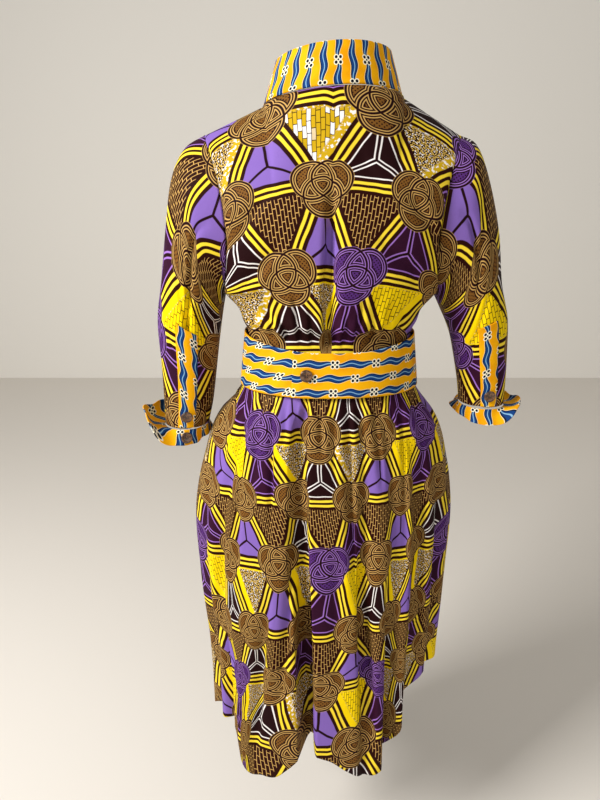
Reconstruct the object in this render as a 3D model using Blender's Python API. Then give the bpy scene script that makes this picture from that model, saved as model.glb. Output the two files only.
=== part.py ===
"""Ankara wax print shirt dress, worn: every cut piece is a thin closed wall.

+Z is up, the wearer faces +Y, +X is the wearer's right, and the origin is where
the wearer's neck holds the dress, between the shoulders.
A "turn" runs round the body: 0 at the centre back, 0.25 at the wearer's right
side, 0.5 at the centre front and 0.75 (or -0.25) at the wearer's left side.
"""
import bpy
import numpy as np
from mathutils import Matrix, Vector

# --- cloth and seams -------------------------------------------------------
CLOTH = 0.0016            # thickness of the printed cotton with its turnings
DOUBLE = 0.0020           # thickness of belt, collar, cuffs and bands
SEAM_GAP = 0.0004         # clear gap between two pieces sewn together
LAY_GAP = 0.0005          # clear gap below a piece that lies on another

# --- levels, measured down from the neck ----------------------------------
NECK_BACK_Z = 0.006       # neck seam at the centre back
NECK_SIDE_Z = -0.002      # neck seam at the shoulders
NECK_TILT = 0.006         # the wearer's right shoulder stands this much higher
NECK_FRONT_Z = -0.070     # neck seam at the centre front
SHOULDER_Z = -0.047       # top of the armhole
ARMPIT_Z = -0.280
WAIST_Z = -0.380          # waist seam, hidden by the belt
BELT_BOTTOM_Z = -0.426
HIP_Z = -0.442            # the skirt leaves the belt
BELT_TOP_BACK_Z = -0.358
BELT_TOP_SIDE_Z = -0.341

# --- neck, shoulders and armholes ------------------------------------------
NECK_HALF = 0.102
NECK_BACK = 0.085
NECK_FRONT = 0.088
SHOULDER_X = 0.190        # top of the armhole
ARMPIT_X = 0.168          # bottom of the armhole
ARMHOLE_DEPTH = 0.082     # how far the armhole bulges to back and front
ARMHOLE_DENT = 0.022      # how far it curves in towards the body at mid height
SHOULDER_ROLL = 0.16      # height over which front and back roll to the seam

# --- round sections of the body --------------------------------------------
BODY = dict(
    z=     [-1.130, -0.930, -0.780, -0.630, -0.560, -0.480, -0.442, -0.430,
            -0.380, -0.336, -0.322, -0.304, -0.280, -0.200, -0.120, -0.047],
    half=  [0.218, 0.218, 0.226, 0.225, 0.211, 0.182, 0.151, 0.1435,
            0.134, 0.1345, 0.1410, 0.147, 0.168, 0.172, 0.186, 0.190],
    lean=  [0.000, -0.003, -0.006, -0.006, -0.004, -0.002, 0.0, 0.0,
            0.0, 0.0, 0.0, 0.0, 0.0, 0.0, 0.0, 0.0],
    back=  [0.172, 0.158, 0.150, 0.143, 0.136, 0.124, 0.114, 0.107,
            0.098, 0.100, 0.112, 0.113, 0.115, 0.120, 0.114, 0.088],
    front= [0.158, 0.150, 0.142, 0.132, 0.124, 0.113, 0.108, 0.105,
            0.098, 0.101, 0.113, 0.122, 0.132, 0.138, 0.126, 0.096],
)
SQUARENESS = 2.25         # 2 is an ellipse, more is a squarer section

# --- skirt folds: a turn, and how wide and deep at the waist and the hem ----
FOLDS = dict(
    turn=      [-0.020, -0.145, -0.112, -0.190, 0.045, 0.084, 0.118, 0.165, 0.215,
                0.330, 0.415, 0.590, 0.680],
    waist_turn=[-0.040, -0.115, -0.085, -0.165, 0.035, 0.070, 0.105, 0.150, 0.205,
                0.340, 0.430, 0.575, 0.665],
    half_width=[0.011, 0.016, 0.030, 0.026, 0.014, 0.018, 0.020, 0.022, 0.022,
                0.030, 0.028, 0.028, 0.030],
    waist=     [0.008, 0.004, 0.000, 0.002, 0.005, 0.003, 0.002, 0.002, 0.001,
                0.003, 0.003, 0.003, 0.003],
    knee=      [0.030, 0.010, -0.003, 0.010, 0.014, 0.018, 0.012, 0.010, 0.008,
                0.012, 0.010, 0.010, 0.012],
    hem=       [0.060, 0.036, -0.010, 0.018, 0.010, 0.045, 0.030, 0.024, 0.014,
                0.022, 0.020, 0.020, 0.022],
)
KNEE_Z = -0.850
FOLD_COLUMN = 0.014       # columns run this far to each side of a fold
PLEAT_COLUMNS = [0.005, 0.010, 0.016, 0.024]      # and these at the centre pleat
SKIRT_COLUMNS = 15        # even columns between the folds
CLOSEST_COLUMNS = 0.004
FRONT_COLUMNS = 15
BAND_TURN = 0.012         # half width of the skirt's button band
SEAM_TURN = SEAM_GAP / (4 * np.pi * 0.125)        # half a side seam's gap, as a turn
SKIRT_ROWS = [-1.0, -0.55, -0.2, 0.0, 0.07, 0.16, 0.28, 0.42, 0.57, 0.72, 0.86, 1.0]

# --- hem level by turn: shirt-tail, lowest at the back ----------------------
HEM = dict(
    turn=[-0.30, -0.25, -0.22, -0.20, -0.16, -0.142, -0.124, -0.110, -0.08, -0.06,
          -0.045, -0.02, 0.00, 0.02, 0.045, 0.070, 0.084, 0.095, 0.108, 0.120,
          0.135, 0.160, 0.200, 0.250, 0.350, 0.500, 0.620, 0.700],
    z=   [-1.060, -1.098, -1.074, -1.056, -1.055, -1.050, -1.060, -1.115, -1.130, -1.124,
          -1.104, -1.072, -1.078, -1.102, -1.122, -1.112, -1.102, -1.062, -1.016, -0.978,
          -0.950, -0.944, -0.942, -0.962, -0.985, -1.020, -1.030, -1.060],
)

# --- rows and columns that sewn pieces share --------------------------------
SLEEVE_COLUMNS = 20
SLEEVE_ROWS = [0, 0.6, 1.4, 2.4, 3.5, 4.6, 5.7, 6.8, 8.0]
NECK_COLUMNS = np.array([0.0, 0.26, 0.50, 0.71, 0.87, 0.96, 1.0])      # of the neck's half width
SHOULDER_COLUMNS = np.array([0.62, 0.74, 0.85, 0.93, 0.98, 1.0])       # of the shoulder's
armhole_share = (1 - np.cos(np.linspace(0, np.pi, SLEEVE_COLUMNS // 2 + 1))) / 2
armhole_levels = ARMPIT_Z + (SHOULDER_Z - ARMPIT_Z) * armhole_share
armhole_rows = (armhole_levels - WAIST_Z) / (SHOULDER_Z - WAIST_Z)
BELOW_ARMPIT_ROWS = [0.0, 0.12, 0.165, 0.225]
BODICE_ROWS = np.concatenate([BELOW_ARMPIT_ROWS, armhole_rows])
BODICE_COLUMNS = np.concatenate([NECK_COLUMNS * NECK_HALF / SHOULDER_X, SHOULDER_COLUMNS])

# --- bodice folds over the belt: turn, half width, depth at the belt --------
TUCKS = dict(
    turn=      [-0.003, -0.085, -0.140, 0.070, 0.130, 0.190],
    half_width=[0.018, 0.022, 0.022, 0.022, 0.022, 0.022],
    depth=     [0.016, 0.006, 0.005, 0.005, 0.006, 0.004],
    top=       [-0.100, -0.220, -0.240, -0.230, -0.220, -0.250],
)

# --- sleeves: inner and outer edge of each section, armhole to sleeve end ----
SLEEVE = dict(
    left=dict(
        in_x= [0.1680, 0.1700, 0.1725, 0.1750, 0.1785, 0.1830, 0.1890, 0.1960, 0.2050],
        in_z= [-0.280, -0.292, -0.305, -0.320, -0.342, -0.372, -0.415, -0.462, -0.502],
        out_x=[0.1900, 0.2210, 0.2430, 0.2560, 0.2690, 0.2800, 0.2790, 0.2790, 0.2795],
        out_z=[-0.047, -0.066, -0.108, -0.176, -0.258, -0.324, -0.396, -0.456, -0.500],
        depth=[0.0820, 0.0800, 0.0760, 0.0710, 0.0640, 0.0570, 0.0500, 0.0450, 0.0430]),
    right=dict(
        in_x= [0.1680, 0.1715, 0.1765, 0.1825, 0.1915, 0.2010, 0.2105, 0.2190, 0.2240],
        in_z= [-0.280, -0.288, -0.298, -0.310, -0.328, -0.352, -0.390, -0.430, -0.464],
        out_x=[0.1900, 0.2150, 0.2370, 0.2590, 0.2725, 0.2890, 0.2950, 0.2975, 0.2980],
        out_z=[-0.047, -0.060, -0.106, -0.180, -0.260, -0.320, -0.385, -0.428, -0.464],
        depth=[0.0820, 0.0800, 0.0760, 0.0710, 0.0640, 0.0560, 0.0490, 0.0440, 0.0420]),
)
SIDES = dict(left=-1.0, right=1.0)
STRIP = dict(
    left=dict(angle=1.70, top=4.60, half=0.0150),
    right=dict(angle=1.54, top=4.75, half=0.0150),
)
STRIP_FIRST_ROW = 6       # the strip starts in the stretch above this sleeve row
STRIP_COLUMNS = 5
STRIP_END = 7.95
CUFF_DROP = 0.0032        # the cuff's seam hangs this far below the sleeve's end
CUFF_BOW = 0.008          # roundness of the stretch that turns up
CUFF = dict(              # by angle round the sleeve: degrees turned up, and length
    left=dict(angle= [0, 40, 75, 100, 180, 215, 270, 330, 360],
              tilt=  [42, 30, -55, -80, -84, -70, 10, 40, 42],
              length=[0.044, 0.040, 0.027, 0.026, 0.018, 0.018, 0.030, 0.040, 0.044]),
    right=dict(angle= [0, 40, 75, 100, 180, 215, 270, 330, 360],
               tilt=  [22, 5, -60, -74, -62, -40, 10, 25, 22],
               length=[0.026, 0.027, 0.027, 0.026, 0.016, 0.018, 0.025, 0.026, 0.026]),
)

# --- collar, belt and buttons ------------------------------------------------
COLLAR_HEIGHT = 0.056
COLLAR_LEAN = 0.018
COLLAR_FLARE = 1.7        # how much the front ends lean out instead of in
COLLAR_SEAM_RISE = 0.0014 # the collar's seam edge stands on the neck seam
BELT_LAP_TURN = -0.060    # where the top end of the belt stops
BELT_LAP = 0.060          # turns of double belt
BELT_HALF = [0.1465, 0.1375]      # half width at its bottom and top edge
BELT_BACK = [0.1130, 0.1045]
BELT_FRONT = [0.1110, 0.1045]
BELT_OUT = 0.0015
BELT_BUTTON_TURN = -0.036
BELT_BUTTON_UP = 0.50
STRIP_BUTTON = dict(left=7.45, right=7.40)
BODICE_BUTTONS = [0.30, 0.46, 0.62, 0.78, 0.93]
SKIRT_BUTTONS = [0.08, 0.24, 0.40, 0.56]
BAND_HALF = 0.016
BUTTON_R = 0.0095
BUTTON_DEPTH = 0.0026
BUTTON_RISE = 0.0010      # clear thread height below a button
BUTTON_SIDES = 14
BUTTON_PROFILE = dict(    # sunk middle, raised rim, edge and back, as shares
    radius=[0.55, 0.86, 1.0, 0.9],
    level= [0.62, 1.0, 0.55, 0.0],
)
BUTTON_PATCH = 0.02       # size of the patch that sets a button's facing
BAND_COLUMNS = 3

FABRIC = dict(wax_print=(0.20, 0.09, 0.05), trim_print=(0.86, 0.42, 0.03))
SHELL_BROWN = (0.07, 0.035, 0.02)

ALL = slice(None)         # every row, or every column, of a grid


def clear_scene():
    for old in list(bpy.data.objects):
        bpy.data.objects.remove(old, do_unlink=True)


def material(name, colour, roughness):
    made = bpy.data.materials.new(name)
    made.use_nodes = True
    shader = made.node_tree.nodes["Principled BSDF"]
    shader.inputs["Base Color"].default_value = (*colour, 1.0)
    shader.inputs["Roughness"].default_value = roughness
    shader.inputs["Metallic"].default_value = 0.0
    return made


def smooth(places, values, at):
    """A curve through the table's values: cubic pieces with the slopes of the neighbours."""
    places = np.asarray(places, float)
    values = np.asarray(values, float)
    slope = np.gradient(values, places)
    at = np.clip(np.asarray(at, float), places[0], places[-1])
    k = np.clip(np.searchsorted(places, at) - 1, 0, len(places) - 2)
    step = places[k + 1] - places[k]
    s = (at - places[k]) / step
    return ((1 + 2 * s) * (1 - s) ** 2 * values[k] + s * (1 - s) ** 2 * step * slope[k]
            + s * s * (3 - 2 * s) * values[k + 1] + s * s * (s - 1) * step * slope[k + 1])


def near(turn, centre, half):
    """1 on a fold's line, falling to 0 at its edges, measured round the body."""
    away = (np.asarray(turn) - centre + 0.5) % 1.0 - 0.5
    w = np.clip(1.0 - np.abs(away) / half, 0.0, 1.0)
    return w * w * (3 - 2 * w) * 0.45 + w ** 1.6 * 0.55


def body_ring(turn, z, out=0.0):
    """A point of the body's section: a squared ellipse, deeper or flatter by level."""
    angle = 2 * np.pi * turn
    half = np.interp(z, BODY["z"], BODY["half"]) + out
    depth = np.where(np.cos(angle) > 0,
                     np.interp(z, BODY["z"], BODY["back"]),
                     np.interp(z, BODY["z"], BODY["front"])) + out
    power = 2.0 / SQUARENESS
    x = half * np.sign(np.sin(angle)) * np.abs(np.sin(angle)) ** power
    y = -depth * np.sign(np.cos(angle)) * np.abs(np.cos(angle)) ** power
    return np.stack([x + np.interp(z, BODY["z"], BODY["lean"]), y, z + 0 * x], axis=-1)


def skirt_points(turn, z):
    """The skirt: the body's section, pushed in along each fold, more towards the hem."""
    points = body_ring(turn, z)
    down = np.clip((WAIST_Z - z) / (WAIST_Z - KNEE_Z), 0, 1)
    lower = np.clip((KNEE_Z - z) / (KNEE_Z + 1.13), 0, 1)
    push = 0 * turn
    for i in range(len(FOLDS["turn"])):
        centre = FOLDS["waist_turn"][i] + (FOLDS["turn"][i] - FOLDS["waist_turn"][i]) * down
        deep = FOLDS["waist"][i] + (FOLDS["knee"][i] - FOLDS["waist"][i]) * down
        deep = deep + (FOLDS["hem"][i] - FOLDS["knee"][i]) * lower
        push = push + deep * near(turn, centre, FOLDS["half_width"][i])
    under_belt = np.clip((BELT_BOTTOM_Z - z) / 0.03, 0, 1)
    push = push * under_belt
    inward = -points * [1.0, 1.0, 0.0]
    inward = inward / np.linalg.norm(inward, axis=-1, keepdims=True)
    return points + inward * push[..., None]


def hem_z(turn):
    """Level of the hem round the body."""
    return np.interp((np.asarray(turn) + 0.3) % 1.0 - 0.3, HEM["turn"], HEM["z"])


def skirt_level(turn, down):
    """Level of a skirt row: below 0 for the rows under the belt, then 0 to 1 down to the hem."""
    under_belt = HIP_Z + (WAIST_Z - SEAM_GAP - HIP_Z) * -down
    return np.where(down < 0, under_belt, HIP_Z + (hem_z(turn) - HIP_Z) * down)


def armhole_y(z):
    """How far the armhole bulges at a level, half an ellipse between its ends."""
    middle = (SHOULDER_Z + ARMPIT_Z) / 2
    rise = (SHOULDER_Z - ARMPIT_Z) / 2
    return ARMHOLE_DEPTH * np.sqrt(np.clip(1 - ((z - middle) / rise) ** 2, 0, 1))


def edge_x(z):
    """Half width of a bodice panel: the side seam, then the straight line of the armhole."""
    share = np.clip((z - ARMPIT_Z) / (SHOULDER_Z - ARMPIT_Z), 0, 1)
    dent = ARMHOLE_DENT * 4 * share * (1 - share)
    armhole = ARMPIT_X + (SHOULDER_X - ARMPIT_X) * share - dent
    return np.where(z > ARMPIT_Z, armhole, np.interp(z, BODY["z"], BODY["half"]))


def neck_edge(x, face):
    """Depth and level of the neck seam above x, on the back (-1) or the front (+1)."""
    share = np.clip(x / NECK_HALF, -1, 1)
    arc = np.sqrt(1 - share ** 2)
    depth = np.where(face < 0, NECK_BACK, NECK_FRONT) * arc
    middle_z = np.where(face < 0, NECK_BACK_Z, NECK_FRONT_Z)
    return depth, NECK_SIDE_Z + (middle_z - NECK_SIDE_Z) * arc ** 1.5 + NECK_TILT * share


def bodice_points(across, up, face):
    """A bodice panel. across: -1 to 1 between its edges. up: 0 at the waist, 1 at the top.

    The rows bulge as the body's section does. Near the top they roll over to the
    shoulder seam and the neck seam.
    """
    across, up = np.broadcast_arrays(across, up)
    seam_x = across * SHOULDER_X
    neck_y, neck_z = neck_edge(seam_x, face)
    slope = np.clip((np.abs(seam_x) - NECK_HALF) / (SHOULDER_X - NECK_HALF), 0, 1)
    top_z = neck_z + (SHOULDER_Z - neck_z) * slope
    z_edge = WAIST_Z + (SHOULDER_Z - WAIST_Z) * up
    z = WAIST_Z + (top_z - WAIST_Z) * up
    x = across * edge_x(z_edge)
    y_edge = np.where(z_edge > ARMPIT_Z, armhole_y(z_edge), 0.0)
    column = BODY["back"] if face < 0 else BODY["front"]
    deep = np.interp(np.minimum(z, SHOULDER_Z - 0.04), BODY["z"], column)
    bulge = (1 - np.abs(across) ** SQUARENESS) ** (1 / SQUARENESS)
    roll = np.clip(1 - (top_z - z) / SHOULDER_ROLL, 0, 1)
    turn_over = 1 - np.sqrt(1 - roll ** 2)
    deep = deep + (neck_y / np.maximum(bulge, 0.1) - deep) * turn_over
    y = face * (y_edge + (deep - y_edge) * bulge)
    if face < 0:
        turn = np.arcsin(np.clip(across, -1, 1)) / (2 * np.pi)
        for i in range(len(TUCKS["turn"])):
            fade = np.clip((TUCKS["top"][i] - z) / (TUCKS["top"][i] + 0.33), 0, 1)
            belt = np.clip((z - BELT_TOP_BACK_Z) / 0.02, 0, 1)
            y = y + TUCKS["depth"][i] * fade * belt * near(turn, TUCKS["turn"][i],
                                                           TUCKS["half_width"][i])
    return np.stack([x, y + face * SEAM_GAP / 2, z + 0 * x], axis=-1)


def sleeve_points(side, along, angle):
    """A sleeve. along: 0 at the armhole to 8 at its end. angle: 0 outer edge, pi/2 back."""
    table = SLEEVE[side]
    rows = np.arange(len(table["in_x"]))
    place = {name: smooth(rows, table[name], along) for name in table}
    middle_x = (place["out_x"] + place["in_x"]) / 2
    middle_z = (place["out_z"] + place["in_z"]) / 2
    dent = ARMHOLE_DENT * np.sin(angle) ** 2 * np.clip(1 - along / 1.2, 0, 1) ** 2
    x = middle_x + (place["out_x"] - place["in_x"]) / 2 * np.cos(angle) + SEAM_GAP - dent
    z = middle_z + (place["out_z"] - place["in_z"]) / 2 * np.cos(angle)
    y = -place["depth"] * np.sin(angle)
    return np.stack([SIDES[side] * x, y, z], axis=-1)


def normals(points, out_sign, closed):
    """Unit normals of a grid from its row and column directions."""
    if closed:
        wrapped = np.concatenate([points[:, -1:], points, points[:, :1]], axis=1)
        across = (wrapped[:, 2:] - wrapped[:, :-2])
    else:
        across = np.gradient(points, axis=1)
    along = np.gradient(points, axis=0)
    n = np.cross(across, along) * out_sign
    return n / np.maximum(np.linalg.norm(n, axis=-1, keepdims=True), 1e-12)


def wall(name, outer, thickness, look, out_sign=1.0, closed=False, flat_edges=()):
    """One closed piece of cloth: the outer grid, the grid moved in, and the rims between.

    flat_edges holds (rows, columns, axis): there the wall's thickness must not lean
    along that axis, so that it stays clear of the piece sewn to that edge.
    """
    n = normals(outer, out_sign, closed)
    for edge_rows, edge_columns, axis in flat_edges:
        n[edge_rows, edge_columns, axis] = 0.0
    n = n / np.maximum(np.linalg.norm(n, axis=-1, keepdims=True), 1e-12)
    inner = outer - n * thickness
    rows, columns = outer.shape[:2]
    index = np.arange(rows * columns).reshape(rows, columns)
    shift = rows * columns
    spans = columns if closed else columns - 1
    faces = []
    for r in range(rows - 1):
        for c in range(spans):
            d = (c + 1) % columns
            quad = (index[r, c], index[r, d], index[r + 1, d], index[r + 1, c])
            faces.append(quad)
            faces.append(tuple(i + shift for i in reversed(quad)))
    for c in range(spans):
        d = (c + 1) % columns
        faces.append((index[0, d], index[0, c], index[0, c] + shift, index[0, d] + shift))
        faces.append((index[-1, c], index[-1, d], index[-1, d] + shift, index[-1, c] + shift))
    if not closed:
        for r in range(rows - 1):
            faces.append((index[r, 0], index[r + 1, 0], index[r + 1, 0] + shift,
                          index[r, 0] + shift))
            faces.append((index[r + 1, -1], index[r, -1], index[r, -1] + shift,
                          index[r + 1, -1] + shift))
    if out_sign < 0:
        faces = [tuple(reversed(face)) for face in faces]
    mesh = bpy.data.meshes.new(name)
    corners = np.concatenate([outer.reshape(-1, 3), inner.reshape(-1, 3)])
    mesh.from_pydata([tuple(p) for p in corners], [], [tuple(map(int, f)) for f in faces])
    mesh.materials.append(look)
    piece = bpy.data.objects.new(name, mesh)
    bpy.context.scene.collection.objects.link(piece)
    return piece


def lay_on(points, out_sign, distance, closed=False):
    """The points of a piece that lies on another, moved out along its normals."""
    return points + normals(points, out_sign, closed) * distance


def button(name, place, facing, look):
    """A flat round button with a turned edge, its back at place."""
    sides = BUTTON_SIDES
    angle = np.linspace(0, 2 * np.pi, sides, endpoint=False)
    rings = len(BUTTON_PROFILE["radius"])
    radius = BUTTON_R * np.repeat(BUTTON_PROFILE["radius"], sides)
    level = BUTTON_DEPTH * np.repeat(BUTTON_PROFILE["level"], sides)
    angles = np.tile(angle, rings)
    corners = np.stack([radius * np.cos(angles), radius * np.sin(angles), level], axis=-1)
    faces = [tuple(range(sides)), tuple(range((rings - 1) * sides, rings * sides))[::-1]]
    for k in range(rings - 1):
        for c in range(sides):
            d = (c + 1) % sides
            faces.append((k * sides + c, (k + 1) * sides + c,
                          (k + 1) * sides + d, k * sides + d))
    mesh = bpy.data.meshes.new(name)
    mesh.from_pydata([tuple(p) for p in corners], [], faces)
    turn = Vector((0, 0, 1)).rotation_difference(Vector(facing)).to_matrix().to_4x4()
    mesh.transform(Matrix.Translation(Vector(place)) @ turn)
    mesh.materials.append(look)
    piece = bpy.data.objects.new(name, mesh)
    bpy.context.scene.collection.objects.link(piece)
    return piece


def grid(columns, rows):
    """Two arrays that give every column and row of a grid."""
    return np.meshgrid(np.asarray(columns, float), np.asarray(rows, float))


def bodice_edges(side_column):
    """Side seam and shoulder seam stay clear of the other panel, the armhole of the sleeve."""
    armpit_row = len(BODICE_ROWS) - len(armhole_rows)
    return [(slice(0, armpit_row + 1), side_column, 1),
            (slice(armpit_row + 1, None), side_column, 0),
            (-1, ALL, 1)]


def build_bodice(look):
    across, up = grid(np.concatenate([-BODICE_COLUMNS[:0:-1], BODICE_COLUMNS]), BODICE_ROWS)
    wall("back", bodice_points(across, up, -1), CLOTH, look, 1.0,
         flat_edges=bodice_edges(0) + bodice_edges(-1))
    gap = SEAM_GAP / (2 * ARMPIT_X)
    half = np.concatenate([[gap], BODICE_COLUMNS[1:]])
    for name, columns, open_edge, side_edge in (
            ("front_right", half, 0, -1),
            ("front_left", -half[::-1], -1, 0)):
        across, up = grid(columns, BODICE_ROWS)
        wall(name, bodice_points(across, up, 1), CLOTH, look, -1.0,
             flat_edges=bodice_edges(side_edge) + [(ALL, open_edge, 0)])
    across, up = grid(np.linspace(-BAND_HALF, BAND_HALF, BAND_COLUMNS) / ARMPIT_X, BODICE_ROWS[2:-1])
    points = bodice_points(across, up, 1)
    wall("band_bodice", lay_on(points, -1.0, LAY_GAP + DOUBLE), DOUBLE, look, -1.0)


def build_skirt(look):
    def panel(name, turns):
        turn, down = grid(turns, SKIRT_ROWS)
        z = skirt_level(turn, down)
        wall(name, skirt_points(turn, z), CLOTH, look, -1.0)
    folds = np.array([turn for turn in FOLDS["turn"] if abs(turn) < 0.25])
    lips = np.array(PLEAT_COLUMNS)
    even = np.linspace(-0.25 + SEAM_TURN, 0.25 - SEAM_TURN, SKIRT_COLUMNS)
    back = np.sort(np.concatenate([folds - FOLD_COLUMN, folds, folds + FOLD_COLUMN,
                                   FOLDS["turn"][0] - lips, FOLDS["turn"][0] + lips, even]))
    back = back[np.concatenate([[True], np.diff(back) > CLOSEST_COLUMNS])]
    back[0], back[-1] = even[0], even[-1]
    panel("skirt_back", back)
    opening = SEAM_TURN / 4
    panel("skirt_front_right", np.linspace(0.25 + SEAM_TURN, 0.5 - opening, FRONT_COLUMNS))
    panel("skirt_front_left", np.linspace(0.5 + opening, 0.75 - SEAM_TURN, FRONT_COLUMNS))
    below_waist = [row for row in SKIRT_ROWS if row >= 0]
    turn, down = grid(np.linspace(0.5 - BAND_TURN, 0.5 + BAND_TURN, BAND_COLUMNS), below_waist)
    points = skirt_points(turn, skirt_level(turn, down))
    wall("band_skirt", lay_on(points, -1.0, LAY_GAP + DOUBLE), DOUBLE, look, -1.0)


def build_sleeve(side, look, trim_look):
    sign = SIDES[side]
    angle, along = grid(np.linspace(0, 2 * np.pi, SLEEVE_COLUMNS, endpoint=False),
                        SLEEVE_ROWS)
    wall("sleeve_" + side, sleeve_points(side, along, angle), CLOTH, look, sign,
         closed=True, flat_edges=[(0, ALL, 0)])
    strip = STRIP[side]
    spread = strip["half"] / SLEEVE[side]["depth"][-2]
    angle, along = grid(
        np.linspace(strip["angle"] - spread, strip["angle"] + spread, STRIP_COLUMNS),
        [strip["top"]] + SLEEVE_ROWS[STRIP_FIRST_ROW:-1] + [STRIP_END])
    points = lay_on(sleeve_points(side, along, angle), sign, LAY_GAP + DOUBLE)
    wall("strip_" + side, points, DOUBLE, trim_look, sign)


def cuff_points(side, angle, out):
    """A turned up cuff. out: 0 at the sleeve's end to 1 at the free edge.

    It hangs down at the back and inside, and turns up along the outside and front.
    """
    end = sleeve_points(side, 8.0 + 0 * angle, angle)
    table = SLEEVE[side]
    centre_x = SIDES[side] * (table["in_x"][-1] + table["out_x"][-1]) / 2
    away = (end - [centre_x, 0.0, 0.0]) * [1.0, 1.0, 0.0]
    away = away / np.linalg.norm(away, axis=-1, keepdims=True)
    degrees = np.degrees(angle) % 360.0
    tilt = np.radians(np.interp(degrees, CUFF[side]["angle"], CUFF[side]["tilt"]))
    length = np.interp(degrees, CUFF[side]["angle"], CUFF[side]["length"]) * out
    bow = CUFF_BOW * np.sin(np.pi * out) * np.clip(tilt, 0, 1)
    points = end + away * (LAY_GAP + length * np.cos(tilt) + bow)[..., None]
    points[..., 2] = table["out_z"][-1] - CUFF_DROP + length * np.sin(tilt) - bow
    return points


def build_cuff(side, look):
    angle, out = grid(np.linspace(0, 2 * np.pi, SLEEVE_COLUMNS, endpoint=False), np.linspace(0, 1, 4))
    wall("cuff_" + side, cuff_points(side, angle, out), DOUBLE, look, SIDES[side], closed=True)


def collar_points(turn, up):
    """The popped collar: it rises from the neck seam, and its front ends flare out."""
    angle = 2 * np.pi * turn
    x = NECK_HALF * np.sin(angle)
    face = np.where(np.cos(angle) > 0, -1.0, 1.0)
    depth, seam_z = neck_edge(x, face)
    front = np.clip((np.abs(turn) - 0.25) / 0.2, 0, 1)
    lean = 1 - COLLAR_LEAN / NECK_HALF * up * (1 - COLLAR_FLARE * front)
    z = seam_z + COLLAR_SEAM_RISE + COLLAR_HEIGHT * up
    return np.stack([x * lean, face * depth * lean, z], axis=-1)


def build_collar(look):
    quarter = np.arcsin(NECK_COLUMNS) / (2 * np.pi)
    front = 0.5 - quarter[-2:0:-1]
    half = np.concatenate([quarter, front])
    turn, up = grid(np.concatenate([-half[:0:-1], half]), np.linspace(0, 1, 4))
    wall("collar", collar_points(turn, up), DOUBLE, look, 1.0)


def belt_points(turn, up):
    """The belt round the waist. Its top end laps over the start, so it spirals out."""
    top = BELT_TOP_BACK_Z + (BELT_TOP_SIDE_Z - BELT_TOP_BACK_Z) * np.sin(np.pi * turn * 2) ** 2
    z = BELT_BOTTOM_Z + (top - BELT_BOTTOM_Z) * up
    lap = np.clip((turn - BELT_LAP_TURN) / BELT_LAP, 0, 1)
    out = BELT_OUT + (DOUBLE + LAY_GAP) * (1 - lap * lap * (3 - 2 * lap))
    angle = 2 * np.pi * turn
    half = np.interp(up, [0, 1], BELT_HALF) + out
    depth = np.where(np.cos(angle) > 0, np.interp(up, [0, 1], BELT_BACK),
                     np.interp(up, [0, 1], BELT_FRONT)) + out
    power = 2.0 / SQUARENESS
    x = half * np.sign(np.sin(angle)) * np.abs(np.sin(angle)) ** power
    y = -depth * np.sign(np.cos(angle)) * np.abs(np.cos(angle)) ** power
    return np.stack([x, y, z], axis=-1)


def build_belt(look):
    turns = np.linspace(BELT_LAP_TURN, 1 + BELT_LAP_TURN + BELT_LAP * 0.9, 56)
    turn, up = grid(turns, np.linspace(0, 1, 3))
    wall("belt", belt_points(turn, up), DOUBLE, look, 1.0)


def face_at(points, out_sign):
    """The place and the direction of the middle of a small patch of a surface."""
    n = normals(points, out_sign, False)
    return points[1, 1], n[1, 1]


def button_on(name, surface, out_sign, columns, rows, rise, look):
    """A button on a surface: the patch is worked out round it, and it sits just clear."""
    across, along = grid(columns, rows)
    place, facing = face_at(surface(across, along), out_sign)
    button(name, place + facing * rise, facing, look)


def build_buttons(look):
    step = BUTTON_PATCH
    button_on("belt_button", belt_points, 1.0,
              BELT_BUTTON_TURN + np.array([-0.006, 0, 0.006]),
              BELT_BUTTON_UP + np.array([-step, 0, step]), BUTTON_RISE, look)
    for side, level in STRIP_BUTTON.items():
        def sleeve(angle, along, side=side):
            return sleeve_points(side, along, angle)
        button_on("strip_button_" + side, sleeve, SIDES[side],
                  STRIP[side]["angle"] + np.array([-0.1, 0, 0.1]),
                  level + np.array([-step, 0, step]),
                  DOUBLE + LAY_GAP + BUTTON_RISE, look)

    def cuff(angle, out):
        return cuff_points("left", angle, out)
    button_on("cuff_button_left", cuff, SIDES["left"],
              STRIP["left"]["angle"] + np.array([-0.06, 0, 0.06]),
              0.5 + np.array([-step, 0, step]), BUTTON_RISE, look)

    def bodice_front(across, up):
        return bodice_points(across, up, 1)
    for i, up in enumerate(BODICE_BUTTONS):
        button_on("bodice_button_%d" % (i + 1), bodice_front, -1.0, [-0.04, 0, 0.04],
                  up + np.array([-step, 0, step]), DOUBLE + LAY_GAP + BUTTON_RISE, look)

    def skirt_front(turn, down):
        return skirt_points(turn, skirt_level(turn, down))
    for i, down in enumerate(SKIRT_BUTTONS):
        button_on("skirt_button_%d" % (i + 1), skirt_front, -1.0, [0.495, 0.5, 0.505],
                  down + np.array([-step, 0, step]), DOUBLE + LAY_GAP + BUTTON_RISE, look)


clear_scene()
wax_print = material("wax_print", FABRIC["wax_print"], 0.75)
trim_print = material("trim_print", FABRIC["trim_print"], 0.75)
shell = material("shell_button", SHELL_BROWN, 0.3)
build_bodice(wax_print)
build_skirt(wax_print)
for each in SIDES:
    build_sleeve(each, wax_print, trim_print)
    build_cuff(each, trim_print)
build_collar(trim_print)
build_belt(trim_print)
build_buttons(shell)
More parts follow.
